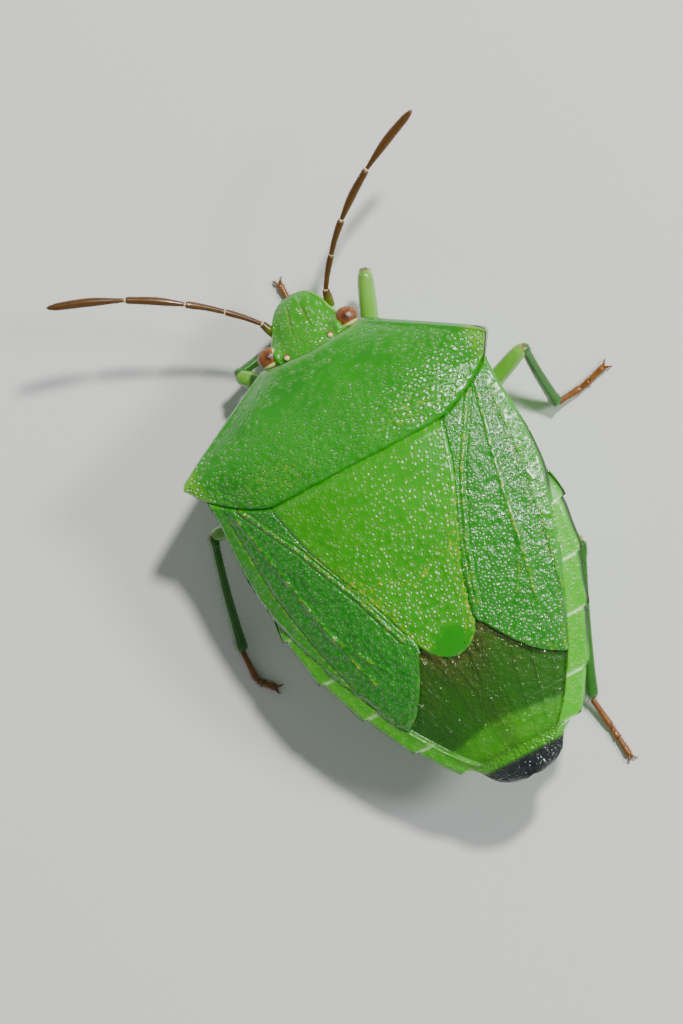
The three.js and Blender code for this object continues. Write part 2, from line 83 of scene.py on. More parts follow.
class Profile:
    """A curve through (place, value) stops that never swings past them, level outside them."""

    def __init__(self, stops: Stops) -> None:
        """Keeps the stops and works out the slope at each.

        Args:
            stops: Places and values, in rising order of place.
        """
        self.places = np.array([stop[0] for stop in stops], float)
        self.values = np.array([stop[1] for stop in stops], float)
        steps = np.diff(self.values) / np.diff(self.places)
        slopes = np.concatenate([steps[:1], (steps[:-1] + steps[1:]) / 2, steps[-1:]])
        same_way = steps[:-1] * steps[1:] > 0
        slopes[1:-1] = np.where(same_way, 2 * steps[:-1] * steps[1:] / (steps[:-1] + steps[1:] + 1e-12), 0)
        self.slopes = slopes

    def __call__(self, at: Array | float) -> Array:
        """Reads the curve off.

        Args:
            at: The places.

        Returns:
            The value at each place.
        """
        at = np.clip(np.asarray(at, float), self.places[0], self.places[-1])
        i = np.clip(np.searchsorted(self.places, at, side="right") - 1, 0, len(self.places) - 2)
        span = self.places[i + 1] - self.places[i]
        t = (at - self.places[i]) / span
        start = self.values[i] * (1 + 2 * t) * (1 - t) ** 2
        start += self.slopes[i] * span * t * (1 - t) ** 2
        end = self.values[i + 1] * t * t * (3 - 2 * t)
        end += self.slopes[i + 1] * span * t * t * (t - 1)
        return start + end


def smoothstep(low: float, high: float, at: Array | float) -> Array:
    """Returns a soft step from 0 at low to 1 at high."""
    t = np.clip((np.asarray(at, float) - low) / (high - low), 0, 1)
    return t * t * (3 - 2 * t)


def bell(distance: Array | float, width: float) -> Array:
    """Returns a round bump, 1 at no distance and nearly 0 at twice the width."""
    return np.exp(-((np.asarray(distance, float) / width) ** 2))


def spot(x: Array, y: Array, centre: tuple[float, float], radii: tuple[float, float]) -> Array:
    """Returns an oval bump in plan, 1 at its centre and nearly 0 at twice its radii."""
    return bell(np.hypot((x - centre[0]) / radii[0], (y - centre[1]) / radii[1]), 1.0)


def mix(a: Array | float, b: Array | float, t: Array | float) -> Array:
    """Returns the way from a to b at t."""
    return a + (b - a) * t


def noise(x: Array, y: Array, size: float, seed: int) -> Array:
    """Smooth uneven waves over a plane.

    Args:
        x: Places across, in millimetres.
        y: Places along.
        size: The waves' usual length.
        seed: Chooses one pattern.

    Returns:
        Values from -1 to 1.
    """
    cells = 128
    shift = 40.0
    table = np.random.default_rng(seed).uniform(-1, 1, (cells, cells))
    px, py = x / size + shift, y / size + shift
    i, j = np.floor(px).astype(int), np.floor(py).astype(int)
    tx, ty = px - i, py - j
    tx, ty = tx * tx * (3 - 2 * tx), ty * ty * (3 - 2 * ty)
    corner = [[table[(i + a) % cells, (j + b) % cells] for b in (0, 1)] for a in (0, 1)]
    low = mix(corner[0][0], corner[1][0], tx)
    high = mix(corner[0][1], corner[1][1], tx)
    return mix(low, high, ty)


@dataclass(frozen=True)
class Pits:
    """Scattered round punctures, each with a slightly raised lip.

    The spacing is the usual distance between two, and the radius, the depth and the lip's height are one
    puncture's, all in millimetres. The seed chooses one scatter.
    """

    spacing: float
    radius: float
    depth: float
    lip: float
    seed: int
    row_step: float = 0.87
    looseness: float = 0.85

    def scatter(self, x: Array, y: Array, keep: Array) -> tuple[Array, Array]:
        """Strews the punctures over a plane.

        Args:
            x: Places across, in millimetres.
            y: Places along.
            keep: The share of punctures that are there, from 0 to 1, at each place.

        Returns:
            The punctures' depth from 0 to 1, and the height of their lips from 0 to 1.
        """
        cells = 211
        table = np.random.default_rng(self.seed).uniform(0, 1, (cells, cells, 4))
        row = np.floor(y / (self.spacing * self.row_step)).astype(int)
        depth = np.zeros_like(x)
        lip = np.zeros_like(x)
        for j in (row - 1, row, row + 1):
            shift = 0.5 * (j % 2)
            column = np.floor(x / self.spacing - shift).astype(int)
            for i in (column - 1, column, column + 1):
                chance = table[i % cells, j % cells]
                cx = (i + shift + 0.5 + (chance[..., 0] - 0.5) * self.looseness) * self.spacing
                cy = (j + 0.5 + (chance[..., 1] - 0.5) * self.looseness) * self.spacing * self.row_step
                size = self.radius * (0.75 + 0.5 * chance[..., 3])
                away = np.hypot(x - cx, y - cy) / size
                there = chance[..., 2] < keep
                depth = np.maximum(depth, np.where(there, np.clip(1 - away**2, 0, 1), 0))
                lip = np.maximum(lip, np.where(there, bell(away - 1.35, 0.4), 0))
        return depth, lip

    def relief(self, depth: Array, lip: Array) -> Array:
        """Returns the heights that a scatter of depths and lips adds to a surface."""
        return self.lip * lip - self.depth * depth


def distance_to(x: Array, y: Array, route: Route) -> Array:
    """Distances to a route of straight lines in plan.

    Args:
        x: Places across, in millimetres.
        y: Places along.
        route: The route's corners.

    Returns:
        The distance from each place to the route.
    """
    nearest = np.full(x.shape, 1e9)
    for (ax, ay), (bx, by) in zip(route, route[1:]):
        dx, dy = bx - ax, by - ay
        t = np.clip(((x - ax) * dx + (y - ay) * dy) / (dx * dx + dy * dy), 0, 1)
        nearest = np.minimum(nearest, np.hypot(x - ax - t * dx, y - ay - t * dy))
    return nearest


def curve(points: Sequence[Sequence[float]], count: int) -> Array:
    """Points along a smooth curve.

    Args:
        points: Points that the curve goes through.
        count: How many points to take.

    Returns:
        The points that were taken, about evenly spaced.
    """
    given = np.array(points, float)
    steps = np.concatenate([[0], np.cumsum(np.linalg.norm(np.diff(given, axis=0), axis=1))])
    at = np.linspace(0, steps[-1], count)
    return np.stack([Profile(list(zip(steps, given[:, k])))(at) for k in range(given.shape[1])], axis=1)


# The body's form

# How flat the back and the belly are across, from 2 for a round one upwards.
BACK_POWER = 2.3
BELLY_POWER = 2.6

HALF_WIDTH = Profile([
    (-1.55, 1.32), (-1.2, 2.0), (-0.6, 3.08), (-0.25, 3.68), (0, SHOULDER_HALF), (0.2, 3.84),
    (0.5, 3.62), (1.0, 3.6), (2.0, 3.66), (3.0, 3.69), (4.1, 3.64), (4.7, 3.55), (5.35, 3.38),
    (5.9, 3.17), (6.5, 2.9), (7.1, 2.6), (7.7, 2.22), (8.2, 1.86), (8.6, 1.5), (8.95, 1.2),
    (9.2, 0.85), (BODY_END_Y, 0.12),
])
CREST = Profile([
    (-1.55, 2.5), (-0.8, 3.1), (0.2, 3.68), (1.3, 3.95), (3.0, 3.93), (4.6, 3.75),
    (SHIELD_TIP_Y, 3.45), (7.8, 3.02), (BODY_END_Y, 2.6),
])
EDGE = Profile([
    (-1.55, 2.12), (-0.8, 2.7), (0, 3.15), (1.0, 3.0), (3.0, 2.85), (6.5, 2.6), (8.6, 2.42),
    (BODY_END_Y, 2.4),
])
BELLY = Profile([
    (-1.4, 1.7), (-0.4, 1.25), (1.0, 1.0), (3.0, 0.9), (5.0, 0.95), (7.0, 1.25), (8.2, 1.65),
    (ABDOMEN_END_Y, 1.95),
])
PRONOTUM_FRONT = Profile([
    (0, -1.42), (1.0, -1.5), (1.32, COLLAR_REACH), (1.45, -1.5), (2.0, -1.2), (3.08, -0.6), (3.68, -0.25),
    (3.88, -0.12), (SHOULDER_HALF, -0.03),
])
PRONOTUM_REAR = Profile([
    (0, PRONOTUM_REAR_Y), (1.6, 1.3), (2.2, 1.26), (2.8, 1.05), (3.35, 0.72), (3.62, 0.5),
    (3.84, 0.2), (SHOULDER_HALF, 0.03),
])
SHIELD_HALF = Profile([
    (1.3, 2.25), (2.4, 1.95), (3.3, 1.58), (4.0, 1.28), (5.0, 0.92), (5.5, 0.77), (5.85, 0.57),
    (6.05, 0.34), (6.12, 0.2), (SHIELD_TIP_Y, 0.05),
])
WING_MARGIN = Profile([
    (2.5, 0), (3.3, 0.07), (4.1, 0.25), (5.0, 0.4), (6.0, RIM_WIDTH), (BODY_END_Y, RIM_WIDTH),
])


def share(x: Array, y: Array) -> Array:
    """Returns how far out a place lies, 0 on the axis and 1 at the outline."""
    return np.clip(np.abs(x) / HALF_WIDTH(y), 0, 1)


def dorsal(x: Array, y: Array) -> Array:
    """Returns the height of the back."""
    return EDGE(y) + (CREST(y) - EDGE(y)) * (1 - share(x, y) ** BACK_POWER)


# Meshes


class Origin:
    """Carries the bug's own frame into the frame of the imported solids."""

    def __init__(self) -> None:
        """Finds the axis and the shoulder line from the pronotum's solid."""
        low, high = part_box("pronotum")
        self.x = (low.x + high.x) / 2
        self.y = low.y - COLLAR_REACH * MM

    def metres(self, points: Array) -> Array:
        """Returns points in metres in the solids' frame."""
        return points * MM + np.array([self.x, self.y, 0.0])

    def point(self, at: Point) -> Vector:
        """Returns one point in metres in the solids' frame."""
        return Vector(self.metres(np.array(at, float)))


ORIGIN = Origin()


@dataclass
class Shape:
    """Points in millimetres, faces and named masks, on their way to a mesh."""

    points: Array
    faces: list[tuple[int, ...]]
    masks: Masks = field(default_factory=dict)

    def mask(self, name: str, values: Array | float) -> "Shape":
        """Adds a mask and returns the shape."""
        self.masks[name] = np.broadcast_to(np.asarray(values, float), (len(self.points),)).copy()
        return self


def joined(shapes: Iterable[Shape]) -> Shape:
    """Several shapes as one.

    Args:
        shapes: The shapes, each with its own masks.

    Returns:
        One shape, where a mask is 0 on the shapes that lack it.
    """
    shapes = list(shapes)
    names = sorted({name for shape in shapes for name in shape.masks})
    faces: list[tuple[int, ...]] = []
    start = 0
    for shape in shapes:
        faces += [tuple(i + start for i in face) for face in shape.faces]
        start += len(shape.points)
    masks = {
        name: np.concatenate([shape.masks.get(name, np.zeros(len(shape.points))) for shape in shapes])
        for name in names
    }
    return Shape(np.concatenate([shape.points for shape in shapes]), faces, masks)


def grid_faces(rows: int, columns: int, around: bool = False) -> list[tuple[int, ...]]:
    """Quads over a grid of points.

    Args:
        rows: Points along.
        columns: Points across.
        around: The last column joins the first where it is true.

    Returns:
        The faces, as indices of points stored row by row.
    """
    last = columns if around else columns - 1
    j, i = np.meshgrid(np.arange(rows - 1), np.arange(last), indexing="ij")
    right = (i + 1) % columns
    a, b = j * columns + i, j * columns + right
    c, d = (j + 1) * columns + right, (j + 1) * columns + i
    return [tuple(face) for face in np.stack([a, b, c, d], axis=-1).reshape(-1, 4).tolist()]


def sheet(x: Array, y: Array, z: Array, masks: Masks, side: int = 1) -> Shape:
    """An open sheet over a grid of points.

    Args:
        x: Grid of places across.
        y: Grid of places along.
        z: Grid of heights.
        masks: Grids of values for the materials.
        side: 1 or -1, for a sheet that is mirrored across the axis.

    Returns:
        The sheet as a shape.
    """
    faces = grid_faces(*x.shape)
    if side < 0:
        faces = [face[::-1] for face in faces]
    shape = Shape(np.stack([side * x, y, z], axis=-1).reshape(-1, 3), faces)
    for name, values in masks.items():
        shape.mask(name, values.reshape(-1))
    return shape


def closed_body(points: Array, masks: Masks, turned: bool = False) -> Shape:
    """A body whose grid rows are closed rings, with a cap on the first and on the last.

    Args:
        points: Grid of points.
        masks: Grids of values for the materials.
        turned: The rings run the other way round where it is true.

    Returns:
        The body as a shape.
    """
    rows, columns = points.shape[:2]
    faces = grid_faces(rows, columns, around=True)
    faces.append(tuple(range(columns))[::-1])
    faces.append(tuple(range((rows - 1) * columns, rows * columns)))
    if turned:
        faces = [face[::-1] for face in faces]
    shape = Shape(points.reshape(-1, 3), faces)
    for name, values in masks.items():
        shape.mask(name, values.reshape(-1))
    return shape


def back_and_belly(back: Sequence[Array], belly: Sequence[Array], above: Masks, below: Masks) -> Shape:
    """A closed body from a grid over its back and one under its belly, with equal rows.

    Args:
        back: The grids of x, y and z over the back, from right to left.
        belly: The same under the belly, from left to right.
        above: Masks over the back.
        below: Masks under the belly, each at 0 where only the other side has it.

    Returns:
        The body as a shape.
    """
    points = np.concatenate([np.stack(back, axis=-1), np.stack(belly, axis=-1)], axis=1)
    masks = {}
    for name in sorted(set(above) | set(below)):
        over = above.get(name, np.zeros_like(back[0]))
        under = below.get(name, np.zeros_like(belly[0]))
        masks[name] = np.concatenate([over, under], axis=1)
    return closed_body(points, masks)


def crowded(count: int, pull: float) -> Array:
    """Returns places from -1 to 1, the more crowded at both ends the nearer pull comes to 1."""
    return np.sin(np.linspace(-1, 1, count) * np.pi / 2 * pull) / math.sin(np.pi / 2 * pull)


def across_belly(count: int) -> Array:
    """Returns places across a belly from 1 to -1, crowded at its edges and without the edges themselves."""
    return np.cos(np.linspace(0, 1, count + 2)[1:-1] * np.pi)


def plate(
    x: Array, y: Array, z: Array, drop: float, lip: int, masks: Masks, side: int = 1
) -> Shape:
    """A thin plate: its top as given, a rounded wall all round, and a narrow lip turned in below.

    Args:
        x: Grid of places across.
        y: Grid of places along.
        z: Grid of heights.
        drop: The wall's height.
        lip: How many grid steps the lip turns in.
        masks: Grids of values for the materials.
        side: 1 or -1, for a plate that is mirrored across the axis.

    Returns:
        The plate as a shape.
    """
    rows, columns = x.shape
    falls = np.array([1.0, 0.95, 0.68, 0.25])
    insets = [lip, lip // 3, lip // 8, 0]
    bare_from = 0.1

    def padded(count: int) -> tuple[Array, Array]:
        """Adds the wall and the lip to the grid steps of one direction.

        Args:
            count: The number of steps.

        Returns:
            The steps in order, and each one's share of the wall's fall.
        """
        outer = [count - 1 - inset for inset in insets[::-1]]
        fall = np.concatenate([falls, np.zeros(count), falls[::-1]])
        return np.array(insets + list(range(count)) + outer), fall

    iv, fall_v = padded(rows)
    iu, fall_u = padded(columns)
    pick = np.ix_(iv, iu)
    fall = np.maximum(fall_v[:, None], fall_u[None, :])
    kept = {name: np.where(fall > bare_from, 0, values[pick]) for name, values in masks.items()}
    return sheet(x[pick], y[pick], z[pick] - drop * fall, kept, side)


def tube(
    centres: Array,
    radii: Array,
    sides: int = 24,
    ridges: int = 0,
    ridge_height: float = 0.0,
    flat: float = 1.0,
) -> Shape:
    """A round limb swept along points, with closed ends.

    Args:
        centres: Points along the limb's middle.
        radii: Its radius at each.
        sides: Points round it.
        ridges: Long ridges round it, as on a shin.
        ridge_height: Their height, as a share of the radius.
        flat: The height of the limb's section as a share of its width.

    Returns:
        The limb as a shape, with a mask "along" from 0 to 1.
    """
    ways = np.gradient(centres, axis=0)
    ways /= np.linalg.norm(ways, axis=1)[:, None] + 1e-12
    up = np.array([0.0, 0.0, 1.0]) if abs(ways[:, 2]).mean() < 0.9 else np.array([0.0, 1.0, 0.0])
    across = np.cross(ways, up)
    across /= np.linalg.norm(across, axis=1)[:, None] + 1e-12
    rise = np.cross(across, ways)
    turn = np.linspace(0, 2 * np.pi, sides, endpoint=False)
    swell = 1 + ridge_height * np.cos(ridges * turn) if ridges else np.ones(sides)
    cosine, sine = np.cos(turn)[None, :, None], np.sin(turn)[None, :, None]
    outward = across[:, None, :] * cosine + rise[:, None, :] * flat * sine
    ring = radii[:, None, None] * swell[None, :, None] * outward
    body = (centres[:, None, :] + ring).reshape(-1, 3)
    points = np.concatenate([body, centres[:1], centres[-1:]])
    count = len(centres)
    faces = [face[::-1] for face in grid_faces(count, sides, around=True)]
    start, end = count * sides, count * sides + 1
    for k in range(sides):
        after = (k + 1) % sides
        faces.append((start, k, after))
        faces.append((end, (count - 1) * sides + after, (count - 1) * sides + k))
    along = np.concatenate([np.repeat(np.linspace(0, 1, count), sides), [0, 1]])
    return Shape(points, faces).mask("along", along)


def limb(points: Sequence[Point], stops: Stops, count: int = 60, **options: float) -> Shape:
    """A tube along a smooth curve.

    Args:
        points: Points that its middle goes through.
        stops: Its radius, as pairs of a share of the way and a radius.
        count: Rings along it.
        **options: What else a tube takes.

    Returns:
        The limb as a shape, with a mask "along" from 0 to 1.
    """
    t = 0.5 - 0.5 * np.cos(np.pi * np.linspace(0, 1, count))
    samples = 400
    fine = curve(points, samples)
    places = np.linspace(0, 1, samples)
    centres = np.stack([np.interp(t, places, fine[:, k]) for k in range(3)], axis=1)
    return tube(centres, Profile(stops)(t), **options)


def ball(centre: Point, radii: Point, across: int = 32, down: int = 20) -> Shape:
    """A round or long ball.

    Args:
        centre: Its centre.
        radii: Its radii along x, y and z.
        across: Points round it.
        down: Rings from pole to pole.

    Returns:
        The ball as a shape.
    """
    pole = 0.02
    turns = np.linspace(0, 2 * np.pi, across, endpoint=False)
    turn, tilt = np.meshgrid(turns, np.linspace(pole, np.pi - pole, down))
    ring = np.stack([np.sin(tilt) * np.cos(turn), np.sin(tilt) * np.sin(turn), np.cos(tilt)], axis=-1)
    return closed_body(ring * np.array(radii) + np.array(centre), {}, turned=True)


def hairs(shape: Shape, count: int, length: float, lean: Array, seed: int, radius: float) -> Shape:
    """Fine hairs that stand out of a limb.

    Args:
        shape: The limb.
        count: How many hairs.
        length: Their length in millimetres.
        lean: The way that they lean, as a vector shorter than 1.
        seed: Chooses where they grow.
        radius: Their radius at the root.

    Returns:
        The hairs as one shape.
    """
    rng = np.random.default_rng(seed)
    sunk = 0.004
    quads = [face for face in shape.faces if len(face) == 4]
    parts = []
    for _ in range(count):
        face = quads[rng.integers(len(quads))]
        a, b, c = (shape.points[face[k]] for k in range(3))
        normal = np.cross(b - a, c - b)
        size = np.linalg.norm(normal)
        if size < 1e-9:
            continue
        normal /= size
        root = shape.points[list(face)].mean(0) - normal * sunk
        way = normal + lean + rng.uniform(-0.2, 0.2, 3)
        tip = root + way / np.linalg.norm(way) * length * rng.uniform(0.7, 1.2)
        side = np.cross(normal, way + 0.01)
        side *= radius / (np.linalg.norm(side) + 1e-12)
        other = np.cross(normal, side)
        base = [root + side, root - 0.5 * side + 0.87 * other, root - 0.5 * side - 0.87 * other]
        parts.append(Shape(np.array(base + [tip]), [(0, 1, 3), (1, 2, 3), (2, 0, 3), (2, 1, 0)]))
    return joined(parts)


# Shader pieces

COLOUR = "NodeSocketColor"
NUMBER = "NodeSocketFloat"
WHITE = (1, 1, 1, 1)
BLACK = (0, 0, 0, 1)


def srgb(red: int, green: int, blue: int) -> tuple[float, float, float, float]:
    """Turns a colour given in screen values of 0 to 255 into Blender's linear ones.

    Args:
        red: How red it is.
        green: How green.
        blue: How blue.

    Returns:
        The linear colour, opaque.
    """
    linear = [
        ((c / 255 + 0.055) / 1.055) ** 2.4 if c > 10 else c / 255 / 12.92
        for c in (red, green, blue)
    ]
    return (linear[0], linear[1], linear[2], 1.0)


class Tree:
    """A node tree that is filled with short calls."""

    def __init__(self, tree: bpy.types.NodeTree) -> None:
        """Keeps the tree."""
        self.tree = tree

    def send(self, value: object, socket: bpy.types.NodeSocket) -> None:
        """Links a socket to an input, or sets the input to a plain value."""
        if isinstance(value, bpy.types.NodeSocket):
            self.tree.links.new(value, socket)
        else:
            socket.default_value = value

    def add(
        self, kind: str, inputs: dict[str | int, object] | None = None, **settings: object
    ) -> bpy.types.Node:
        """Adds a node.

        Args:
            kind: Its type.
            inputs: Socket names or numbers, each with a value or with a socket to link from.
            **settings: Properties of the node.

        Returns:
            The new node.
        """
        node = self.tree.nodes.new(kind)
        for name, value in settings.items():
            setattr(node, name, value)
        for name, value in (inputs or {}).items():
            self.send(value, node.inputs[name])
        return node

    def mixed(self, factor: object, a: object, b: object) -> bpy.types.NodeSocket:
        """Returns a colour on the way from a to b by a factor socket or number."""
        inputs = {0: factor, 6: a, 7: b}
        return self.add("ShaderNodeMix", inputs, data_type="RGBA", clamp_factor=True).outputs[2]

    def ramp(
        self, value: object, low: float, high: float, to_low: float = 0.0, to_high: float = 1.0
    ) -> bpy.types.NodeSocket:
        """Returns a value socket stretched from one range to another, held at its ends."""
        return self.add("ShaderNodeMapRange", {0: value, 1: low, 2: high, 3: to_low, 4: to_high}).outputs[0]

    def maths(self, operation: str, a: object, b: object = 0.0) -> bpy.types.NodeSocket:
        """Returns the result of one operation on two values."""
        return self.add("ShaderNodeMath", {0: a, 1: b}, operation=operation).outputs[0]

    def mask(self, name: str) -> bpy.types.NodeSocket:
        """Returns a mask that the mesh carries."""
        return self.add("ShaderNodeAttribute", attribute_name=name).outputs["Fac"]

    def group(self, group: bpy.types.NodeTree, inputs: dict[str, object]) -> bpy.types.Node:
        """Adds a shared group with this material's values."""
        return self.add("ShaderNodeGroup", inputs, node_tree=group)


def new_group(
    name: str, inputs: dict[str, tuple[str, object]], outputs: dict[str, str]
) -> tuple[bpy.types.NodeTree, Tree, bpy.types.Node, bpy.types.Node]:
    """An empty shader group with named sockets.

    Args:
        name: The group's name.
        inputs: Names, each with a socket type and a default.
        outputs: Names, each with a socket type.

    Returns:
        The group, its tree, and its input and output nodes.
    """
    group = bpy.data.node_groups.new(name, "ShaderNodeTree")
    for label, (kind, default) in inputs.items():
        socket = group.interface.new_socket(name=label, in_out="INPUT", socket_type=kind)
        socket.default_value = default
    for label, kind in outputs.items():
        group.interface.new_socket(name=label, in_out="OUTPUT", socket_type=kind)
    return group, Tree(group), group.nodes.new("NodeGroupInput"), group.nodes.new("NodeGroupOutput")


def new_material(name: str, **values: object) -> tuple[bpy.types.Material, Tree, bpy.types.Node]:
    """An empty material.

    Args:
        name: The material's name.
        **values: Inputs of its shader that are the same all over, with underscores for spaces.

    Returns:
        The material, its tree and its shader.
    """
    material = bpy.data.materials.new(name)
    material.use_nodes = True
    shader = material.node_tree.nodes["Principled BSDF"]
    for label, value in values.items():
        shader.inputs[label.replace("_", " ")].default_value = value
    return material, Tree(material.node_tree), shader


def millimetres(tree: Tree) -> bpy.types.NodeSocket:
    """Adds object coordinates in millimetres, so that texture scales read as waves per millimetre.

    Args:
        tree: The tree that uses them.

    Returns:
        Their socket.
    """
    coordinates = tree.add("ShaderNodeTexCoord")
    scaled = tree.add("ShaderNodeVectorMath", {0: coordinates.outputs["Object"]}, operation="SCALE")
    scaled.inputs["Scale"].default_value = 1 / MM
    return scaled.outputs[0]


@dataclass
class Effects:
    """The shader groups that several finishes share."""

    cloud_low: float = 0.35
    cloud_high: float = 0.65
    # How deep into a pit the painted glint begins, as a share of its depth.
    painted_glint_from: float = 0.66
    fleck_edge: float = 0.12
    cell_share: float = 0.6

    def __post_init__(self) -> None:
        """Builds each group once."""
        self.mottle = self._mottle()
        self.pitting = self._pitting()
        self.flecks = self._flecks()
        self.grain = self._grain()

    def _mottle(self) -> bpy.types.NodeTree:
        """Clouds one colour with another.

        Returns:
            The group.
        """
        group, tree, given, result = new_group(
            "cloudy tint",
            {
                "Base": (COLOUR, WHITE), "Cloud": (COLOUR, BLACK),
                "Scale": (NUMBER, 1.0), "Amount": (NUMBER, 0.5),
            },
            {"Color": COLOUR},
        )
        waves = tree.add("ShaderNodeTexNoise", {
            "Vector": millimetres(tree), "Scale": given.outputs["Scale"], "Detail": 4.0, "Roughness": 0.6,
        })
        level = tree.ramp(waves.outputs["Fac"], self.cloud_low, self.cloud_high)
        factor = tree.maths("MULTIPLY", level, given.outputs["Amount"])
        clouded = tree.mixed(factor, given.outputs["Base"], given.outputs["Cloud"])
        tree.send(clouded, result.inputs["Color"])
        return group

    def _pitting(self) -> bpy.types.NodeTree:
        """Darkens the pits, lightens their lips and paints a pale highlight, a painted glint, onto their
        deepest floors.

        Returns:
            The group.
        """
        group, tree, given, result = new_group(
            "pit tint and painted glint",
            {
                "Base": (COLOUR, WHITE), "Pit": (COLOUR, BLACK), "Lip": (COLOUR, WHITE),
                "Painted Glint": (COLOUR, WHITE), "Pit Mask": (NUMBER, 0.0), "Lip Mask": (NUMBER, 0.0),
                "Amount": (NUMBER, 0.5), "Painted Glint Amount": (NUMBER, 0.5),
            },
            {"Color": COLOUR, "Painted Glint": NUMBER},
        )
        raised = tree.maths("MULTIPLY", given.outputs["Lip Mask"], given.outputs["Amount"])
        sunk = tree.maths("MULTIPLY", given.outputs["Pit Mask"], given.outputs["Amount"])
        # Painted highlight: a pale spot mixed into the colour at the deepest part of each pit, standing for
        # the lamp's glint in it.
        floor = tree.ramp(given.outputs["Pit Mask"], self.painted_glint_from, 1.0)
        painted_glint = tree.maths("MULTIPLY", floor, given.outputs["Painted Glint Amount"])
        lipped = tree.mixed(raised, given.outputs["Base"], given.outputs["Lip"])
        pitted = tree.mixed(sunk, lipped, given.outputs["Pit"])
        tree.send(tree.mixed(painted_glint, pitted, given.outputs["Painted Glint"]), result.inputs["Color"])
        tree.send(painted_glint, result.inputs["Painted Glint"])
        return group

    def _flecks(self) -> bpy.types.NodeTree:
        """Breaks a mask up into small flecks.

        Returns:
            The group.
        """
        group, tree, given, result = new_group(
            "broken flecks",
            {"Mask": (NUMBER, 0.0), "Scale": (NUMBER, 8.0), "Cover": (NUMBER, 0.5)},
            {"Mask": NUMBER},
        )
        waves = tree.add("ShaderNodeTexNoise", {
            "Vector": millimetres(tree), "Scale": given.outputs["Scale"], "Detail": 3.0, "Roughness": 0.7,
        })
        threshold = tree.maths("SUBTRACT", 1.0, given.outputs["Cover"])
        above = tree.maths("SUBTRACT", waves.outputs["Fac"], threshold)
        level = tree.ramp(above, 0.0, self.fleck_edge)
        tree.send(tree.maths("MULTIPLY", level, given.outputs["Mask"]), result.inputs["Mask"])
        return group

    def _grain(self) -> bpy.types.NodeTree:
        """Gives the height of a fine skin grain.

        Returns:
            The group.
        """
        group, tree, given, result = new_group(
            "skin grain",
            {"Cells": (NUMBER, 30.0), "Waves": (NUMBER, 12.0)},
            {"Height": NUMBER},
        )
        place = millimetres(tree)
        cells = tree.add("ShaderNodeTexVoronoi", {"Vector": place, "Scale": given.outputs["Cells"]})
        waves = tree.add("ShaderNodeTexNoise", {
            "Vector": place, "Scale": given.outputs["Waves"], "Detail": 5.0,
        })
        part = tree.maths("MULTIPLY", cells.outputs["Distance"], self.cell_share)
        tree.send(tree.maths("ADD", part, waves.outputs["Fac"]), result.inputs["Height"])
        return group


EFFECTS = Effects()


@dataclass(frozen=True)
class Cuticle:
    """A glossy pitted cuticle with a clouded base, dark pits with a painted glint in each, flecks along its
    veins and a pale bar.

    The masks "second" and "third" lay two more colours over it, "fleck" the flecks and "bar" the pale one.
    """

    name: str
    base: Colour
    cloud: Colour
    pit: Colour
    lip: Colour
    fleck: Colour = (170, 150, 40)
    pale: Colour = (170, 215, 150)
    second: Colour = (90, 160, 50)
    third: Colour = (20, 20, 12)
    # Painted highlight: the pale colour mixed into each pit's floor.
    painted_glint: Colour = (226, 240, 214)
    cloud_scale: float = 0.9
    cloud_amount: float = 0.7
    pit_amount: float = 0.75
    # How much painted highlight goes into the pits, and how much smoother it makes them.
    painted_glint_amount: float = 0.0
    painted_glint_polish: float = 0.2
    fleck_scale: float = 9.0
    fleck_cover: float = 0.5
    roughness: float = 0.33
    roughness_below: float = 0.06
    roughness_above: float = 0.1
    coat: float = 0.5
    coat_roughness: float = 0.12
    grain: float = 0.12
    grain_mm: float = 0.02
    grain_cells: float = 26.0
    grain_waves: float = 9.0
    grain_range: tuple[float, float] = (0.2, 1.2)
    glow: float = 0.08
    glow_mm: float = 0.2
    glow_reach: tuple[float, float, float] = (0.6, 1.0, 0.25)

    def build(self) -> bpy.types.Material:
        """Builds the finish.

        Returns:
            The material.
        """
        material, tree, shader = new_material(
            self.name, IOR=1.5, Coat_Weight=self.coat, Coat_Roughness=self.coat_roughness,
            Subsurface_Weight=self.glow, Subsurface_Radius=self.glow_reach,
            Subsurface_Scale=self.glow_mm * MM,
        )
        pitting = tree.group(EFFECTS.pitting, {
            "Base": self._clouded(tree), "Pit": srgb(*self.pit), "Lip": srgb(*self.lip),
            "Painted Glint": srgb(*self.painted_glint), "Pit Mask": tree.mask("pit"), "Lip Mask": tree.mask("lip"),
            "Amount": self.pit_amount, "Painted Glint Amount": self.painted_glint_amount,
        })
        flecks = tree.group(EFFECTS.flecks, {
            "Mask": tree.mask("fleck"), "Scale": self.fleck_scale, "Cover": self.fleck_cover,
        }).outputs["Mask"]
        flecked = tree.mixed(flecks, pitting.outputs["Color"], srgb(*self.fleck))
        barred = tree.mixed(tree.mask("bar"), flecked, srgb(*self.pale))
        lined = tree.mixed(tree.mask("third"), barred, srgb(*self.third))
        grain = tree.group(EFFECTS.grain, {
            "Cells": self.grain_cells, "Waves": self.grain_waves,
        }).outputs["Height"]
        bump = tree.add("ShaderNodeBump", {
            "Strength": self.grain, "Distance": self.grain_mm * MM, "Height": grain,
        })
        smoothest = self.roughness - self.roughness_below
        roughest = self.roughness + self.roughness_above
        grained = tree.ramp(grain, *self.grain_range, smoothest, roughest)
        # The painted glints are made smoother as well.
        polish = tree.maths("MULTIPLY", pitting.outputs["Painted Glint"], self.painted_glint_polish)
        tree.send(lined, shader.inputs["Base Color"])
        tree.send(tree.maths("SUBTRACT", grained, polish), shader.inputs["Roughness"])
        tree.send(bump.outputs["Normal"], shader.inputs["Normal"])
        return material

    def _clouded(self, tree: Tree) -> bpy.types.NodeSocket:
        """Returns the clouded base colour with the second colour laid over it."""
        clouded = tree.group(EFFECTS.mottle, {
            "Base": srgb(*self.base), "Cloud": srgb(*self.cloud),
            "Scale": self.cloud_scale, "Amount": self.cloud_amount,
        }).outputs["Color"]
        return tree.mixed(tree.mask("second"), clouded, srgb(*self.second))


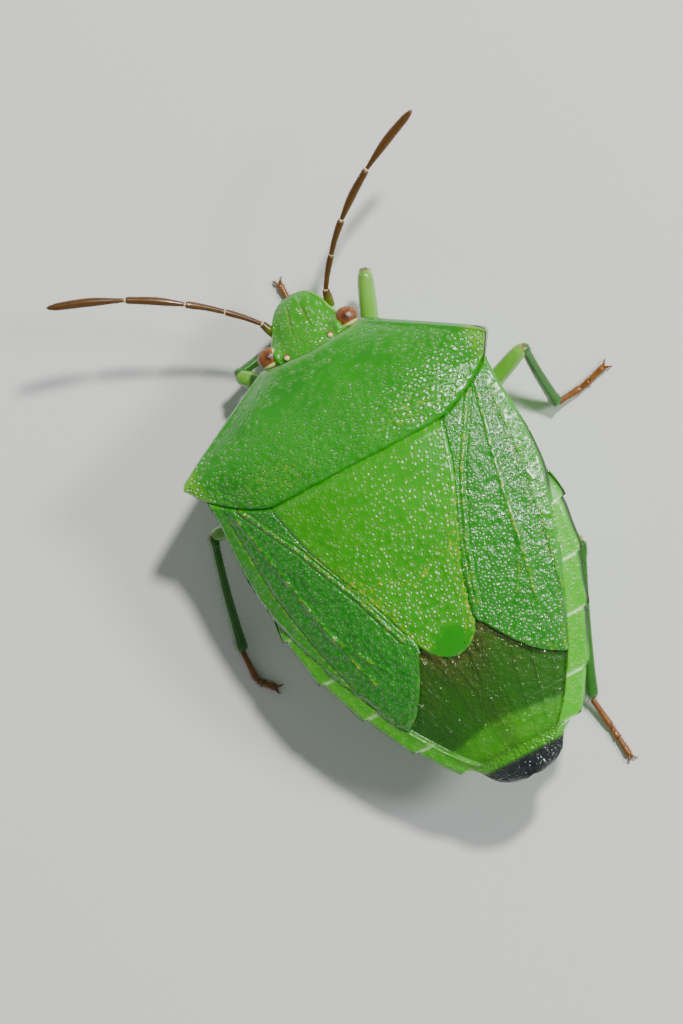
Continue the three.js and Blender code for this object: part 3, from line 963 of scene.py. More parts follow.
@dataclass(frozen=True)
class Veil:
    """A thin clear wing membrane, smoky, with darker veins, a warm front, and a dark, nearly opaque end
    that is painted shadow: the shade under its clear tip.
    """

    name: str = "smoky wing membrane"
    smoke: Colour = (74, 112, 22)
    cloud: Colour = (44, 78, 24)
    vein: Colour = (40, 60, 14)
    # Painted shadow: the dark colour of the membrane's clear end, standing for the shade below it.
    tip: Colour = (20, 30, 30)
    warm: Colour = (112, 92, 44)
    rear: Colour = (66, 152, 12)
    clear_alpha: float = 0.22
    vein_alpha: float = 0.55
    warm_alpha: float = 0.3
    rear_alpha: float = 0.7
    # Painted shadow: the end is made nearly opaque so that its dark colour stands for the shade below it.
    shadow_tip_alpha: float = 0.76
    cloud_scale: float = 1.6
    cloud_amount: float = 0.6
    roughness: float = 0.14
    coat: float = 0.4
    coat_roughness: float = 0.06
    crease: float = 0.8
    crease_mm: float = 0.07
    crease_cells: float = 14.0
    crease_waves: float = 5.0

    def build(self) -> bpy.types.Material:
        """Builds the finish.

        Returns:
            The material.
        """
        material, tree, shader = new_material(
            self.name, Roughness=self.roughness, IOR=1.56, Coat_Weight=self.coat,
            Coat_Roughness=self.coat_roughness,
        )
        masks = {name: tree.mask(name) for name in ("vein", "tip", "warm", "rear")}
        colour = tree.group(EFFECTS.mottle, {
            "Base": srgb(*self.smoke), "Cloud": srgb(*self.cloud),
            "Scale": self.cloud_scale, "Amount": self.cloud_amount,
        }).outputs["Color"]
        # The "tip" tint is painted shadow for the shade under the membrane's clear end.
        tints = {"warm": self.warm, "rear": self.rear, "tip": self.tip, "vein": self.vein}
        for name, tint in tints.items():
            colour = tree.mixed(masks[name], colour, srgb(*tint))
        alpha = tree.ramp(masks["vein"], 0.0, 1.0, self.clear_alpha, self.vein_alpha)
        for name, more in (("warm", self.warm_alpha), ("rear", self.rear_alpha), ("tip", self.shadow_tip_alpha)):
            alpha = tree.maths("ADD", alpha, tree.ramp(masks[name], 0.0, 1.0, 0.0, more))
        grain = tree.group(EFFECTS.grain, {
            "Cells": self.crease_cells, "Waves": self.crease_waves,
        }).outputs["Height"]
        bump = tree.add("ShaderNodeBump", {
            "Strength": self.crease, "Distance": self.crease_mm * MM, "Height": grain,
        })
        tree.send(colour, shader.inputs["Base Color"])
        tree.send(alpha, shader.inputs["Alpha"])
        tree.send(bump.outputs["Normal"], shader.inputs["Normal"])
        return material


class Finish(Enum):
    """The finishes of the bug, each with its colours from the photograph."""

    PRONOTUM = Cuticle(
        "pronotum cuticle", base=(36, 140, 8), cloud=(22, 120, 8), pit=(8, 80, 6), lip=(60, 160, 26),
        fleck=(150, 172, 16), second=(112, 178, 16), third=(10, 12, 6), coat=0.6, roughness=0.28,
        pit_amount=0.6, painted_glint_amount=0.6,
    )
    SHIELD = Cuticle(
        "scutellum cuticle", base=(54, 154, 4), cloud=(30, 140, 4), pit=(20, 100, 2), lip=(84, 172, 20),
        fleck=(168, 178, 20), second=(20, 136, 8), coat=0.6, roughness=0.26,
        pit_amount=0.6, painted_glint_amount=0.62,
    )
    WING = Cuticle(
        "forewing cuticle", base=(22, 128, 4), cloud=(8, 106, 10), pit=(4, 68, 4), lip=(54, 150, 30),
        fleck=(140, 168, 20), second=(60, 162, 14), coat=0.6, roughness=0.28, cloud_scale=1.4,
        pit_amount=0.6, painted_glint_amount=0.42,
    )
    RIM = Cuticle(
        "abdomen cuticle", base=(72, 182, 8), cloud=(54, 166, 8), pit=(34, 120, 6), lip=(116, 200, 60),
        fleck=(110, 140, 16), pale=(178, 228, 150), second=(24, 104, 10), third=(8, 10, 6),
        coat=0.35, roughness=0.34, pit_amount=0.5, painted_glint_amount=0.5,
    )
    UNDERSIDE = Cuticle(
        "underside cuticle", base=(92, 184, 22), cloud=(74, 168, 16), pit=(50, 128, 12),
        lip=(130, 200, 70), pale=(180, 218, 130), second=(62, 148, 18), third=(26, 28, 10),
        coat=0.15, roughness=0.45, pit_amount=0.5, glow=0.12,
    )
    HEAD = Cuticle(
        "head cuticle", base=(56, 150, 14), cloud=(42, 136, 12), pit=(20, 94, 8), lip=(84, 168, 36),
        second=(130, 190, 60), third=(96, 84, 10), coat=0.55, roughness=0.28,
        pit_amount=0.55, painted_glint_amount=0.6,
    )
    # Its "second" colour is a painted dark spot on the side of the eye that faces the camera.
    EYE = Cuticle(
        "eye facets", base=(160, 94, 34), cloud=(92, 44, 14), pit=(50, 24, 10), lip=(206, 160, 100),
        pale=(222, 224, 150), second=(36, 18, 12), coat=0.5, roughness=0.25, cloud_scale=9.0,
        cloud_amount=1.0, pit_amount=0.55, grain=0.05,
    )
    OCELLUS = Cuticle(
        "ocellus", base=(226, 224, 160), cloud=(204, 206, 130), pit=(150, 60, 20),
        lip=(236, 236, 190), second=(158, 34, 10), coat=0.9, roughness=0.12, cloud_scale=4.0,
        grain=0.02, glow=0.2,
    )
    ANTENNA = Cuticle(
        "antenna cuticle", base=(92, 56, 0), cloud=(68, 42, 0), pit=(48, 26, 2), lip=(112, 68, 8),
        pale=(214, 200, 140), second=(84, 108, 12), third=(76, 60, 36), coat=0.35, roughness=0.32,
        cloud_scale=3.0, glow=0.1,
    )
    FEMUR = Cuticle(
        "thigh cuticle", base=(116, 176, 62), cloud=(92, 158, 44), pit=(50, 110, 14),
        lip=(140, 190, 70), pale=(150, 96, 30), second=(140, 120, 40), third=(60, 64, 36),
        coat=1.0, roughness=0.16, cloud_scale=1.2, glow=0.3,
    )
    TIBIA = Cuticle(
        "shin cuticle", base=(46, 112, 26), cloud=(34, 92, 22), pit=(24, 72, 14), lip=(90, 146, 60),
        pale=(134, 84, 24), second=(132, 96, 30), third=(80, 76, 44), coat=0.4, roughness=0.3,
        cloud_scale=1.6, glow=0.2,
    )
    FOOT = Cuticle(
        "foot cuticle", base=(136, 82, 20), cloud=(104, 58, 14), pit=(64, 30, 8), lip=(170, 104, 40),
        pale=(180, 116, 44), second=(50, 26, 10), third=(120, 96, 60), coat=0.4, roughness=0.32,
        cloud_scale=3.0, glow=0.15,
    )
    BEAK = Cuticle(
        "beak cuticle", base=(118, 158, 50), cloud=(94, 126, 36), pit=(74, 92, 24),
        lip=(140, 168, 70), pale=(104, 70, 20), second=(44, 28, 12), coat=0.4, roughness=0.35,
        cloud_scale=2.0,
    )
    VEIL = Veil()

    def material(self) -> bpy.types.Material:
        """Returns the finish's material, built on first use."""
        return bpy.data.materials.get(self.value.name) or self.value.build()


def placed(name: str, data: bpy.types.ID) -> bpy.types.Object:
    """Makes an object and puts it into the scene.

    Args:
        name: Its name.
        data: Its mesh, camera or lamp.

    Returns:
        The object.
    """
    made = bpy.data.objects.new(name, data)
    bpy.context.scene.collection.objects.link(made)
    return made


def piece(name: str, shape: Shape, finish: Finish, nodes: Sequence[str]) -> None:
    """Turns a shape into a piece of the bug that rides on its body and stands for its solids.

    Args:
        name: The piece's name.
        shape: Its points, faces and masks.
        finish: Its material.
        nodes: The solids that it replaces, none for one that only adds to them.
    """
    mesh = bpy.data.meshes.new(name)
    mesh.from_pydata(ORIGIN.metres(shape.points).tolist(), [], shape.faces)
    for label, values in shape.masks.items():
        mesh.attributes.new(label, "FLOAT", "POINT").data.foreach_set("value", values.astype(np.float32))
    mesh.polygons.foreach_set("use_smooth", np.ones(len(mesh.polygons), bool))
    mesh.materials.append(finish.material())
    mesh.validate()
    mesh.update()
    made = placed(name, mesh)
    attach(made, "root")
    if nodes:
        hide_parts(*nodes)
    LOG.info("%s: %d points, %d faces", name, len(mesh.vertices), len(mesh.polygons))


# The back


@dataclass
class Pronotum:
    """The pitted shield behind the head, drawn out into the two pointed shoulders."""

    columns: int = 380
    rows: int = 150
    pits: Pits = Pits(0.115, 0.036, depth=0.022, lip=0.006, seed=3)
    swell: float = 0.02
    fold_length: float = 0.17
    fold_height: float = 0.008
    crumple_height: float = 0.012
    rim_height: float = 0.03
    collar_height: float = 0.02
    callus_height: float = 0.02
    dent_depth: float = 0.06
    front_fall: float = 0.06
    rear_fall: float = 0.05
    wall: float = 0.3
    lip_steps: int = 12

    def build(self) -> None:
        """Makes the piece."""
        x, t = np.meshgrid(SHOULDER_HALF * crowded(self.columns, 0.96), np.linspace(0, 1, self.rows))
        out = np.abs(x)
        front, rear = PRONOTUM_FRONT(out), PRONOTUM_REAR(out)
        y = mix(front, rear, t)
        from_front, from_rear = y - front, rear - y
        callus = spot(out, y - 0.12 * out, (1.0, -0.85), (0.6, 0.13))
        collar = bell(from_front, 0.1)
        side_rim = smoothstep(0.12, 0.05, from_front) * smoothstep(1.2, 1.5, out)
        keep = mix(0.62, 1.0, smoothstep(-0.7, 0.2, y)) * (1 - callus) * (1 - 0.8 * side_rim)
        keep *= 1 - smoothstep(0.1, 0.04, from_rear)
        keep *= 1 - smoothstep(0.1, 0.04, from_front)
        pit, lip = self.pits.scatter(x, y, keep)
        wrinkled = smoothstep(-0.5, 0.7, y) * smoothstep(0.2, 1.6, out)
        bent = y + 0.35 * noise(x, y, 0.9, 5) - 0.12 * out
        waves = np.sin(bent * 2 * np.pi / self.fold_length)
        z = dorsal(x, y) + self.swell * noise(x, y, 0.8, 1) * smoothstep(0, 0.3, from_front)
        z += self.fold_height * wrinkled * waves * (0.6 + 0.4 * noise(x, y, 0.3, 6))
        z += self.crumple_height * smoothstep(-0.2, 0.5, y) * noise(x, y, 0.11, 7)
        z += self.pits.relief(pit, lip)
        z += self.rim_height * bell(from_front - 0.06, 0.05) * smoothstep(1.2, 1.6, out)
        z += self.collar_height * collar + self.callus_height * callus
        z -= self.dent_depth * spot(out, y, (3.2, 0.42), (0.35, 0.2))
        z -= self.rear_fall * smoothstep(0.07, 0.0, from_rear)
        z -= self.front_fall * smoothstep(0.05, 0.0, from_front)
        rear_line = smoothstep(0.05, 0.02, from_rear) * smoothstep(3.3, 3.7, out)
        front_line = smoothstep(0.04, 0.02, from_front) * smoothstep(3.6, 3.85, out)
        gold = 0.8 * spot(out, y, (1.6, 0.75), (0.8, 0.3)) * (0.5 + 0.5 * waves)
        masks = {
            "pit": pit, "lip": lip, "second": 0.75 * smoothstep(3.35, 3.75, out),
            "third": np.maximum(rear_line, front_line), "fleck": np.clip(gold * wrinkled, 0, 1),
            "bar": 0.25 * collar * (out < 1.3),
        }
        shell = plate(x, y, z, self.wall, self.lip_steps, masks)
        piece("pronotum_shell", shell, Finish.PRONOTUM, ["pronotum"])


@dataclass
class Scutellum:
    """The large triangular shield between the wings, smooth and bright at its rounded tip."""

    columns: int = 220
    rows: int = 280
    front_y: float = 1.16
    pits: Pits = Pits(0.13, 0.034, depth=0.02, lip=0.006, seed=11)
    swell: float = 0.02
    bulge_height: float = 0.1
    dent_depth: float = 0.05
    crumple_height: float = 0.012
    fold_height: float = 0.01
    tucked_depth: float = 0.14
    edge_fall: float = 0.03
    row_crowding: float = 1.25
    cross_line: Route = ((0.0, 4.35), (0.35, 4.1), (0.8, 3.9), (1.15, 3.95))
    wall: float = 0.14
    lip_steps: int = 10

    def build(self) -> None:
        """Makes the piece."""
        s = np.linspace(0, 1, self.rows)
        along = mix(self.front_y, SHIELD_TIP_Y, 1 - (1 - s) ** self.row_crowding)
        u, y = np.meshgrid(np.linspace(-1, 1, self.columns), along)
        half = SHIELD_HALF(y)
        x = u * half
        to_side = (1 - np.abs(u)) * half
        to_tip = SHIELD_TIP_Y - y
        smooth_tip = smoothstep(0.75, 0.4, np.hypot(x, to_tip - 0.1))
        border = smoothstep(0.12, 0.05, to_side)
        keep = mix(0.75, 0.95, smoothstep(2.5, 4.5, y)) * (1 - smooth_tip) * (1 - 0.6 * border)
        pit, lip = self.pits.scatter(x, y, keep)
        folded = smoothstep(2.4, 3.8, y + 0.5 * np.abs(x)) * (1 - smooth_tip)
        folds = self.crumple_height * noise(x, y, 0.12, 12) + self.fold_height * noise(x, y, 0.24, 14)
        z = dorsal(x, y) + self.bulge_height * spot(x, y, (0.0, 2.1), (1.5, 1.3))
        z -= self.dent_depth * spot(x, y, (0.0, 4.3), (0.9, 0.9))
        z += folds * folded + self.pits.relief(pit, lip) + self.swell * noise(x, y, 0.7, 13)
        z -= self.tucked_depth * smoothstep(1.5, 1.2, y)
        z -= self.edge_fall * (smoothstep(0.06, 0.0, to_side) + smoothstep(0.1, 0.0, to_tip))
        lines = bell(to_side - 0.1, 0.04) + 0.8 * bell(to_side - 0.24, 0.03)
        lines *= smoothstep(2.6, 4.0, y) * smoothstep(6.0, 5.6, y)
        golden_hem = 0.9 * bell(np.minimum(to_side, to_tip) - 0.03, 0.025) * smoothstep(2.2, 3.2, y)
        cross = bell(distance_to(np.abs(x), y, self.cross_line), 0.05)
        masks = {
            "pit": pit, "lip": lip,
            "second": 0.9 * smooth_tip + 0.5 * spot(x, y, (0.0, 4.9), (0.8, 0.5)),
            "fleck": np.clip(lines + 0.8 * cross + golden_hem, 0, 1),
        }
        shield = plate(x, y, z, self.wall, self.lip_steps, masks)
        piece("scutellum_shield", shield, Finish.SHIELD, ["scutellum"])


# The wings

CORIUM_INNER_END = (0.82, 5.72)


def corium_border(v: Array) -> tuple[Array, Array]:
    """The line where the leathery wing ends and its membrane begins.

    Args:
        v: Shares of the way along it, from inner to outer.

    Returns:
        Its places across and along.
    """
    outer_x = float(HALF_WIDTH(CORIUM_TIP_Y) - RIM_WIDTH)
    x = mix(CORIUM_INNER_END[0], outer_x, v)
    y = mix(CORIUM_INNER_END[1], CORIUM_TIP_Y, v) + 0.25 * np.sin(np.pi * v)
    return x, y


def patch(u: Array, v: Array, front: Array, rear: Array, inner: Array, outer: Array) -> Array:
    """One coordinate of a patch stretched between four boundary curves.

    Args:
        u: Shares of the way across.
        v: Shares of the way along.
        front: The coordinate along the front edge, at each u.
        rear: Along the rear edge.
        inner: Along the inner edge, at each v.
        outer: Along the outer edge.

    Returns:
        The coordinate over the grid, with a row for each v.
    """
    across = mix(inner[:, None], outer[:, None], u[None, :])
    back = mix(front[None, :], rear[None, :], v[:, None])
    near = mix(front[0], front[-1], u)[None, :]
    far = mix(rear[0], rear[-1], u)[None, :]
    return across + back - mix(near, far, v[:, None])


@dataclass
class Forewing:
    """A wing's leathery part: densely pitted and wrinkled, with raised golden veins."""

    side: int
    word: str
    columns: int = 150
    rows: int = 420
    pits: Pits = Pits(0.095, 0.03, depth=0.016, lip=0.005, seed=21)
    apart: float = 9.0
    under_shield: float = 0.06
    under_pronotum: float = 0.1
    over_rim: float = 0.03
    crumple_height: float = 0.016
    suture: Route = ((3.0, 1.0), (2.1, 2.5), (1.42, 4.0), (0.98, 5.3))
    fine: Route = ((2.9, 1.1), (1.95, 2.5), (1.3, 4.0), (0.9, 5.3))
    main: Route = ((3.2, 1.0), (2.85, 2.5), (2.55, 4.0), (2.3, 5.2), (2.1, 5.9))
    fork: Route = ((2.5, 4.4), (2.05, 5.2), (1.7, 5.7))
    border: Route = ((3.35, 1.2), (3.25, 3.0), (2.98, 4.5), (2.62, 6.0), (2.15, 7.1))
    wall: float = 0.11
    lip_steps: int = 8

    def build(self) -> None:
        """Makes the piece."""
        u, v = np.linspace(0, 1, self.columns), np.linspace(0, 1, self.rows)
        x, y = self._grid(u, v)
        grid_u, grid_v = np.meshgrid(u, v)
        to_margin, to_end = 1 - grid_u, 1 - grid_v
        suture, fine = distance_to(x, y, self.suture), distance_to(x, y, self.fine)
        main, fork = distance_to(x, y, self.main), distance_to(x, y, self.fork)
        border = distance_to(x, y, self.border)
        border_x, border_y = zip(*self.border)
        outer_field = smoothstep(0.0, 0.08, x - np.interp(y, border_y, border_x))
        vein = np.maximum(np.maximum(bell(main, 0.05), bell(fork, 0.045)), 0.8 * bell(suture, 0.03))
        keep = mix(1.0, 0.65, outer_field) * (1 - 0.8 * vein) * smoothstep(0.0, 0.02, to_margin)
        pit, lip = self.pits.scatter(x + self.apart * self.side, y, keep)
        crumple = noise(x, y, 0.11, 22 + self.side) + 0.8 * noise(x, y, 0.26, 24 + self.side)
        rough = smoothstep(1.2, 3.0, y) * (1 - 0.1 * outer_field)
        z = dorsal(x, y) + self.crumple_height * crumple * (0.35 + 0.65 * rough)
        for line, height, width in (
            (main, 0.03, 0.06), (fork, 0.022, 0.05), (suture, 0.02, 0.035), (fine, 0.012, 0.03),
            (suture - 0.08, -0.02, 0.03), (border, -0.016, 0.045),
        ):
            z += height * bell(line, width)
        z += self.pits.relief(pit, lip)
        for within, fall in (
            (smoothstep(0.1, -0.05, y - PRONOTUM_REAR(np.abs(x))), 0.12),
            (smoothstep(0.025, 0.0, to_margin), 0.05), (smoothstep(0.015, 0.0, to_end), 0.03),
            (smoothstep(0.05, 0.0, x - SHIELD_HALF(y)), 0.025),
        ):
            z -= fall * within
        gold = bell(main, 0.035) + bell(suture, 0.04) + 0.7 * bell(fork, 0.03)
        gold += 0.6 * bell(border - 0.05, 0.025) + 0.8 * bell(fine, 0.03) * smoothstep(1.8, 3.0, y)
        gold += 0.5 * bell(to_end * 6.0, 0.18) * grid_u
        dark_margin = smoothstep(0.016, 0.008, to_margin)
        dark_margin *= smoothstep(1.8, 2.4, y) * smoothstep(4.0, 3.6, y)
        masks = {
            "pit": pit, "lip": lip, "second": 0.6 * outer_field + 0.25 * bell(fine, 0.15),
            "fleck": np.clip(gold, 0, 1), "third": np.maximum(0.35 * bell(border, 0.02), 0.8 * dark_margin),
        }
        made = plate(x, y, z, self.wall, self.lip_steps, masks, self.side)
        piece(f"forewing_{self.word}_leather", made, Finish.WING, [f"forewing_{self.word}"])

    def _grid(self, u: Array, v: Array) -> tuple[Array, Array]:
        """Stretches the wing between its four margins.

        Args:
            u: Shares of the way across.
            v: Shares of the way along.

        Returns:
            The grid's places across and along.
        """
        inner_y = mix(1.22, CORIUM_INNER_END[1], v)
        inner_x = SHIELD_HALF(inner_y) - self.under_shield
        rear_inner_x = CORIUM_INNER_END[0] - self.under_shield
        inner_x = mix(inner_x, rear_inner_x, smoothstep(0.9, 1.0, v))
        outer_y = mix(0.5, CORIUM_TIP_Y, v)
        outer_x = HALF_WIDTH(outer_y) - WING_MARGIN(outer_y) + self.over_rim
        front_x = mix(inner_x[0], outer_x[0], u)
        hidden_y = PRONOTUM_REAR(front_x) - self.under_pronotum
        front_y = np.minimum(hidden_y, mix(inner_y[0], outer_y[0], u))
        front_y[0], front_y[-1] = inner_y[0], outer_y[0]
        rear_x, rear_y = corium_border(u)
        rear_x[0], rear_x[-1] = inner_x[-1], outer_x[-1]
        x = patch(u, v, front_x, rear_x, inner_x, outer_x)
        y = patch(u, v, front_y, rear_y, inner_y, outer_y)
        return x, y


@dataclass
class Membrane:
    """The clear hind part of a forewing, crossing the axis over or under its twin."""

    side: int
    word: str
    columns: int = 120
    rows: int = 200
    past_axis: float = -0.5
    shield_share: float = 0.35
    sunk: float = 0.06
    lowest: float = 0.13
    overlap: float = 0.03
    crumple_height: float = 0.016
    sparkle_height: float = 0.03
    line_height: float = 0.02
    tucked_depth: float = 0.03
    outer: Profile = Profile([(7.1, 2.2), (7.45, 1.97), (8.0, 1.62), (8.6, 1.2), (9.1, 0.85)])
    veins: Route = ((0.08, 0.16), (0.3, 0.36), (0.5, 0.53), (0.68, 0.69), (0.86, 0.85))
    long_fold: Route = ((-0.4, 7.1), (0.5, 7.35), (1.6, 7.75))
    short_fold: Route = ((0.3, 8.2), (1.2, 8.05))

    def build(self) -> None:
        """Makes the piece."""
        u, v = np.linspace(0, 1, self.columns), np.linspace(0, 1, self.rows)
        x, y = self._grid(u, v)
        grid_u, grid_v = np.meshgrid(u, v)
        veins = self._veins(grid_u, grid_v)
        fold = np.maximum(
            bell(distance_to(x, y, self.long_fold), 0.04), bell(distance_to(x, y, self.short_fold), 0.035)
        )
        crumple = noise(x, y, 0.3, 31 + self.side) + 0.6 * noise(x, y, 0.12, 33 + self.side)
        front_part = smoothstep(0.4, 0.0, grid_v)
        z = dorsal(x, y) - self.sunk + (self.overlap if self.side > 0 else 0.0)
        z += self.crumple_height * crumple * (1 + front_part)
        z += self.sparkle_height * smoothstep(0.8, 0.0, grid_v) * noise(x, y, 0.09, 36)
        z += self.line_height * (veins + fold) - self.tucked_depth * smoothstep(0.15, 0.0, grid_v)
        z = np.maximum(z, dorsal(x, y) - self.lowest)
        warm = front_part * smoothstep(1.5, 0.4, np.abs(x - 0.25)) * (0.7 + 0.3 * noise(x, y, 0.2, 35))
        # Painted shadow: the clear end is marked to be dark and nearly opaque, for the shade that lies
        # under it.
        tip = smoothstep(8.78, 8.92, y)
        rear = smoothstep(8.46, 8.7, y) * (1 - tip)
        masks = {"vein": 0.8 * veins, "tip": tip, "warm": 0.8 * warm, "rear": rear}
        veil = sheet(x, y, z, masks, self.side)
        piece(f"membrane_{self.word}_veil", veil, Finish.VEIL, [f"membrane_{self.word}"])

    def _grid(self, u: Array, v: Array) -> tuple[Array, Array]:
        """Stretches the membrane between its four margins.

        Args:
            u: Shares of the way across.
            v: Shares of the way along.

        Returns:
            The grid's places across and along.
        """
        by_shield = u / self.shield_share
        past_shield = (u - self.shield_share) / (1 - self.shield_share)
        border_x, border_y = corium_border(np.clip(past_shield, 0, 1))
        shield_x = mix(self.past_axis, CORIUM_INNER_END[0], by_shield)
        shield_y = mix(6.0, CORIUM_INNER_END[1], np.clip(by_shield, 0, 1))
        front_x = np.where(u < self.shield_share, shield_x, border_x)
        front_y = np.where(u < self.shield_share, shield_y, border_y) - 0.06
        outer_y = mix(front_y[-1], BODY_END_Y - 0.3, v)
        outer_x = self.outer(outer_y)
        outer_x[0] = front_x[-1]
        inner_y = mix(front_y[0], BODY_END_Y - 0.12, v)
        inner_x = mix(self.past_axis, -0.12, smoothstep(0.2, 1.0, v))
        rear_x = mix(inner_x[-1], outer_x[-1], u)
        rear_y = inner_y[-1] + (outer_y[-1] - inner_y[-1]) * u**2.2 + 0.1 * np.sin(np.pi * u)
        x = patch(u, v, front_x, rear_x, inner_x, outer_x)
        y = patch(u, v, front_y, rear_y, inner_y, outer_y)
        return x, y

    def _veins(self, across: Array, along: Array) -> Array:
        """The long veins and the one that crosses their roots.

        Args:
            across: Shares of the way across.
            along: Shares of the way along.

        Returns:
            The veins' strength from 0 to 1.
        """
        veins = np.zeros_like(across)
        for start, end in self.veins:
            away = np.abs(across - mix(start, end, along) + 0.012 * np.sin(along * 7 + start * 20)) * 2.1
            veins = np.maximum(veins, bell(away, 0.024) * smoothstep(0.85, 0.45, along))
        root = bell((along - 0.08 - 0.03 * np.sin(across * 9)) * 3.0, 0.03)
        return np.maximum(veins, 0.6 * root)


# The body's underside and the head


@dataclass
class Abdomen:
    """The abdomen: a dark back under the wings, a bare light rim with teeth, and a ribbed belly."""

    rows: int = 300
    top: int = 150
    bottom: int = 130
    start_y: float = 3.3
    stump_y: float = 8.6
    tail_y: float = 7.98
    first_joint_y: float = 2.9
    last_joint_y: float = 9.6
    upper_pits: Pits = Pits(0.12, 0.032, depth=0.014, lip=0.004, seed=41)
    lower_pits: Pits = Pits(0.11, 0.02, depth=0.012, lip=0.004, seed=45)
    below_back: float = 0.05
    belly_top: float = 0.14
    under_wings: float = 0.16
    tail_height: float = 0.05
    joint_depth: float = 0.02
    joint_height: float = 0.03
    swell: float = 0.008

    def build(self) -> None:
        """Makes the piece."""
        along = np.linspace(self.start_y, ABDOMEN_END_Y, self.rows)
        stump = Profile([(self.stump_y, 1.32), (ABDOMEN_END_Y, 0.82)])(along)
        half = mix(self._toothed_half(along), stump, smoothstep(self.stump_y, self.stump_y + 0.02, along))
        half -= Profile([(self.start_y, 0.11), (3.6, 0.03), (4.0, 0.0)])(along)
        half = half[:, None]
        u, y = np.meshgrid(crowded(self.top, 0.85), along)
        below_u, below_y = np.meshgrid(across_belly(self.bottom), along)
        x, below_x = u * half, below_u * half
        z, above = self._back(x, y, half)
        below_z, below = self._belly(below_x, below_y, half)
        body = back_and_belly((x, y, z), (below_x, below_y, below_z), above, below)
        piece("abdomen_body", body, Finish.RIM, ["abdomen"])

    def _toothed_half(self, y: Array) -> Array:
        """The outline, with a small tooth at each segment's rear corner.

        Args:
            y: Places along.

        Returns:
            The half-width at each place.
        """
        teeth = np.zeros_like(y)
        start = self.start_y
        for end in SEGMENT_ENDS:
            inside = (y > start) & (y <= end)
            tooth = TOOTH * smoothstep(end - 0.7, end, y) - 0.015 * bell(y - start, 0.1)
            teeth = np.where(inside, tooth, teeth)
            start = end
        return HALF_WIDTH(y) + teeth

    def _segments(self, y: Array) -> tuple[Array, Array]:
        """Finds the joints before and behind each place.

        Args:
            y: Places along.

        Returns:
            The distances to the front joint and to the rear one.
        """
        starts = np.array((self.first_joint_y,) + SEGMENT_ENDS)
        number = np.clip(np.searchsorted(starts, y, side="right") - 1, 0, len(starts) - 1)
        ends = np.array(SEGMENT_ENDS + (self.last_joint_y,))
        return y - starts[number], ends[number] - y

    def _back(self, x: Array, y: Array, half: Array) -> tuple[Array, Masks]:
        """Forms the back.

        Args:
            x: Places across, in millimetres.
            y: Places along.
            half: The half-width of each row.

        Returns:
            The back's heights and masks.
        """
        out = np.abs(x)
        edge_in = half - out
        since, until = self._segments(y)
        nearest = np.minimum(since, until)
        rim = smoothstep(RIM_WIDTH + 0.1, RIM_WIDTH - 0.02, HALF_WIDTH(y) - out) * smoothstep(3.3, 4.2, y)
        covered = 1 - rim
        into_tail = y - self.tail_y + 0.1 * np.cos(x * 1.6) + 0.03 * noise(x, y, 0.3, 44)
        tail = smoothstep(-0.1, 0.14, into_tail)
        keep = 0.75 * rim * smoothstep(0.0, 0.05, edge_in) + 0.5 * tail * covered
        pit, lip = self.upper_pits.scatter(x, y, keep)
        z = dorsal(x, y) - self.below_back - self.under_wings * covered
        z -= self.joint_depth * bell(nearest, 0.02)
        z += self.upper_pits.relief(pit, lip) + self.swell * noise(x, y, 0.35, 43)
        z += 0.02 * rim * bell(edge_in - 0.12, 0.1) - 0.1 * smoothstep(0.06, 0.0, edge_in)
        z += self.tail_height * tail * covered
        bar = bell(nearest, 0.035) * rim * smoothstep(0.03, 0.12, edge_in)
        dark_line = smoothstep(0.06, 0.035, edge_in) * smoothstep(3.3, 3.5, y) * smoothstep(8.0, 6.8, y)
        corner = bell(until, 0.08) * smoothstep(0.1, 0.02, edge_in) * rim
        return z, {
            "pit": pit, "lip": lip, "bar": 0.9 * bar, "second": covered * (1 - 0.8 * tail),
            "third": np.clip(0.9 * dark_line + corner, 0, 1),
            "fleck": 0.3 * bell(out - (HALF_WIDTH(y) - RIM_WIDTH), 0.05),
        }

    def _belly(self, x: Array, y: Array, half: Array) -> tuple[Array, Masks]:
        """Forms the belly.

        Args:
            x: Places across, in millimetres.
            y: Places along.
            half: The half-width of each row.

        Returns:
            The belly's heights and masks.
        """
        reach = np.clip(np.abs(x) / half, 0, 1)
        under = EDGE(y) - self.belly_top
        low = np.maximum(BELLY(y), mix(BELLY(y), under, smoothstep(8.3, 8.95, y) * 0.5))
        since, until = self._segments(y)
        joint = bell(np.minimum(since, until), 0.03)
        pit, lip = self.lower_pits.scatter(x, y, np.full_like(x, 0.5))
        spiracle = bell(np.hypot(np.abs(x) - 0.78 * half, until - 0.45) - 0.05, 0.025)
        z = under - (under - low) * (1 - reach**BELLY_POWER)
        z += self.joint_height * joint - self.lower_pits.relief(pit, lip)
        return z, {
            "pit": 0.6 * pit, "lip": lip, "third": 0.8 * spiracle,
            "bar": np.clip(0.35 * bell(np.abs(x), 0.12) + 0.3 * joint, 0, 1),
        }


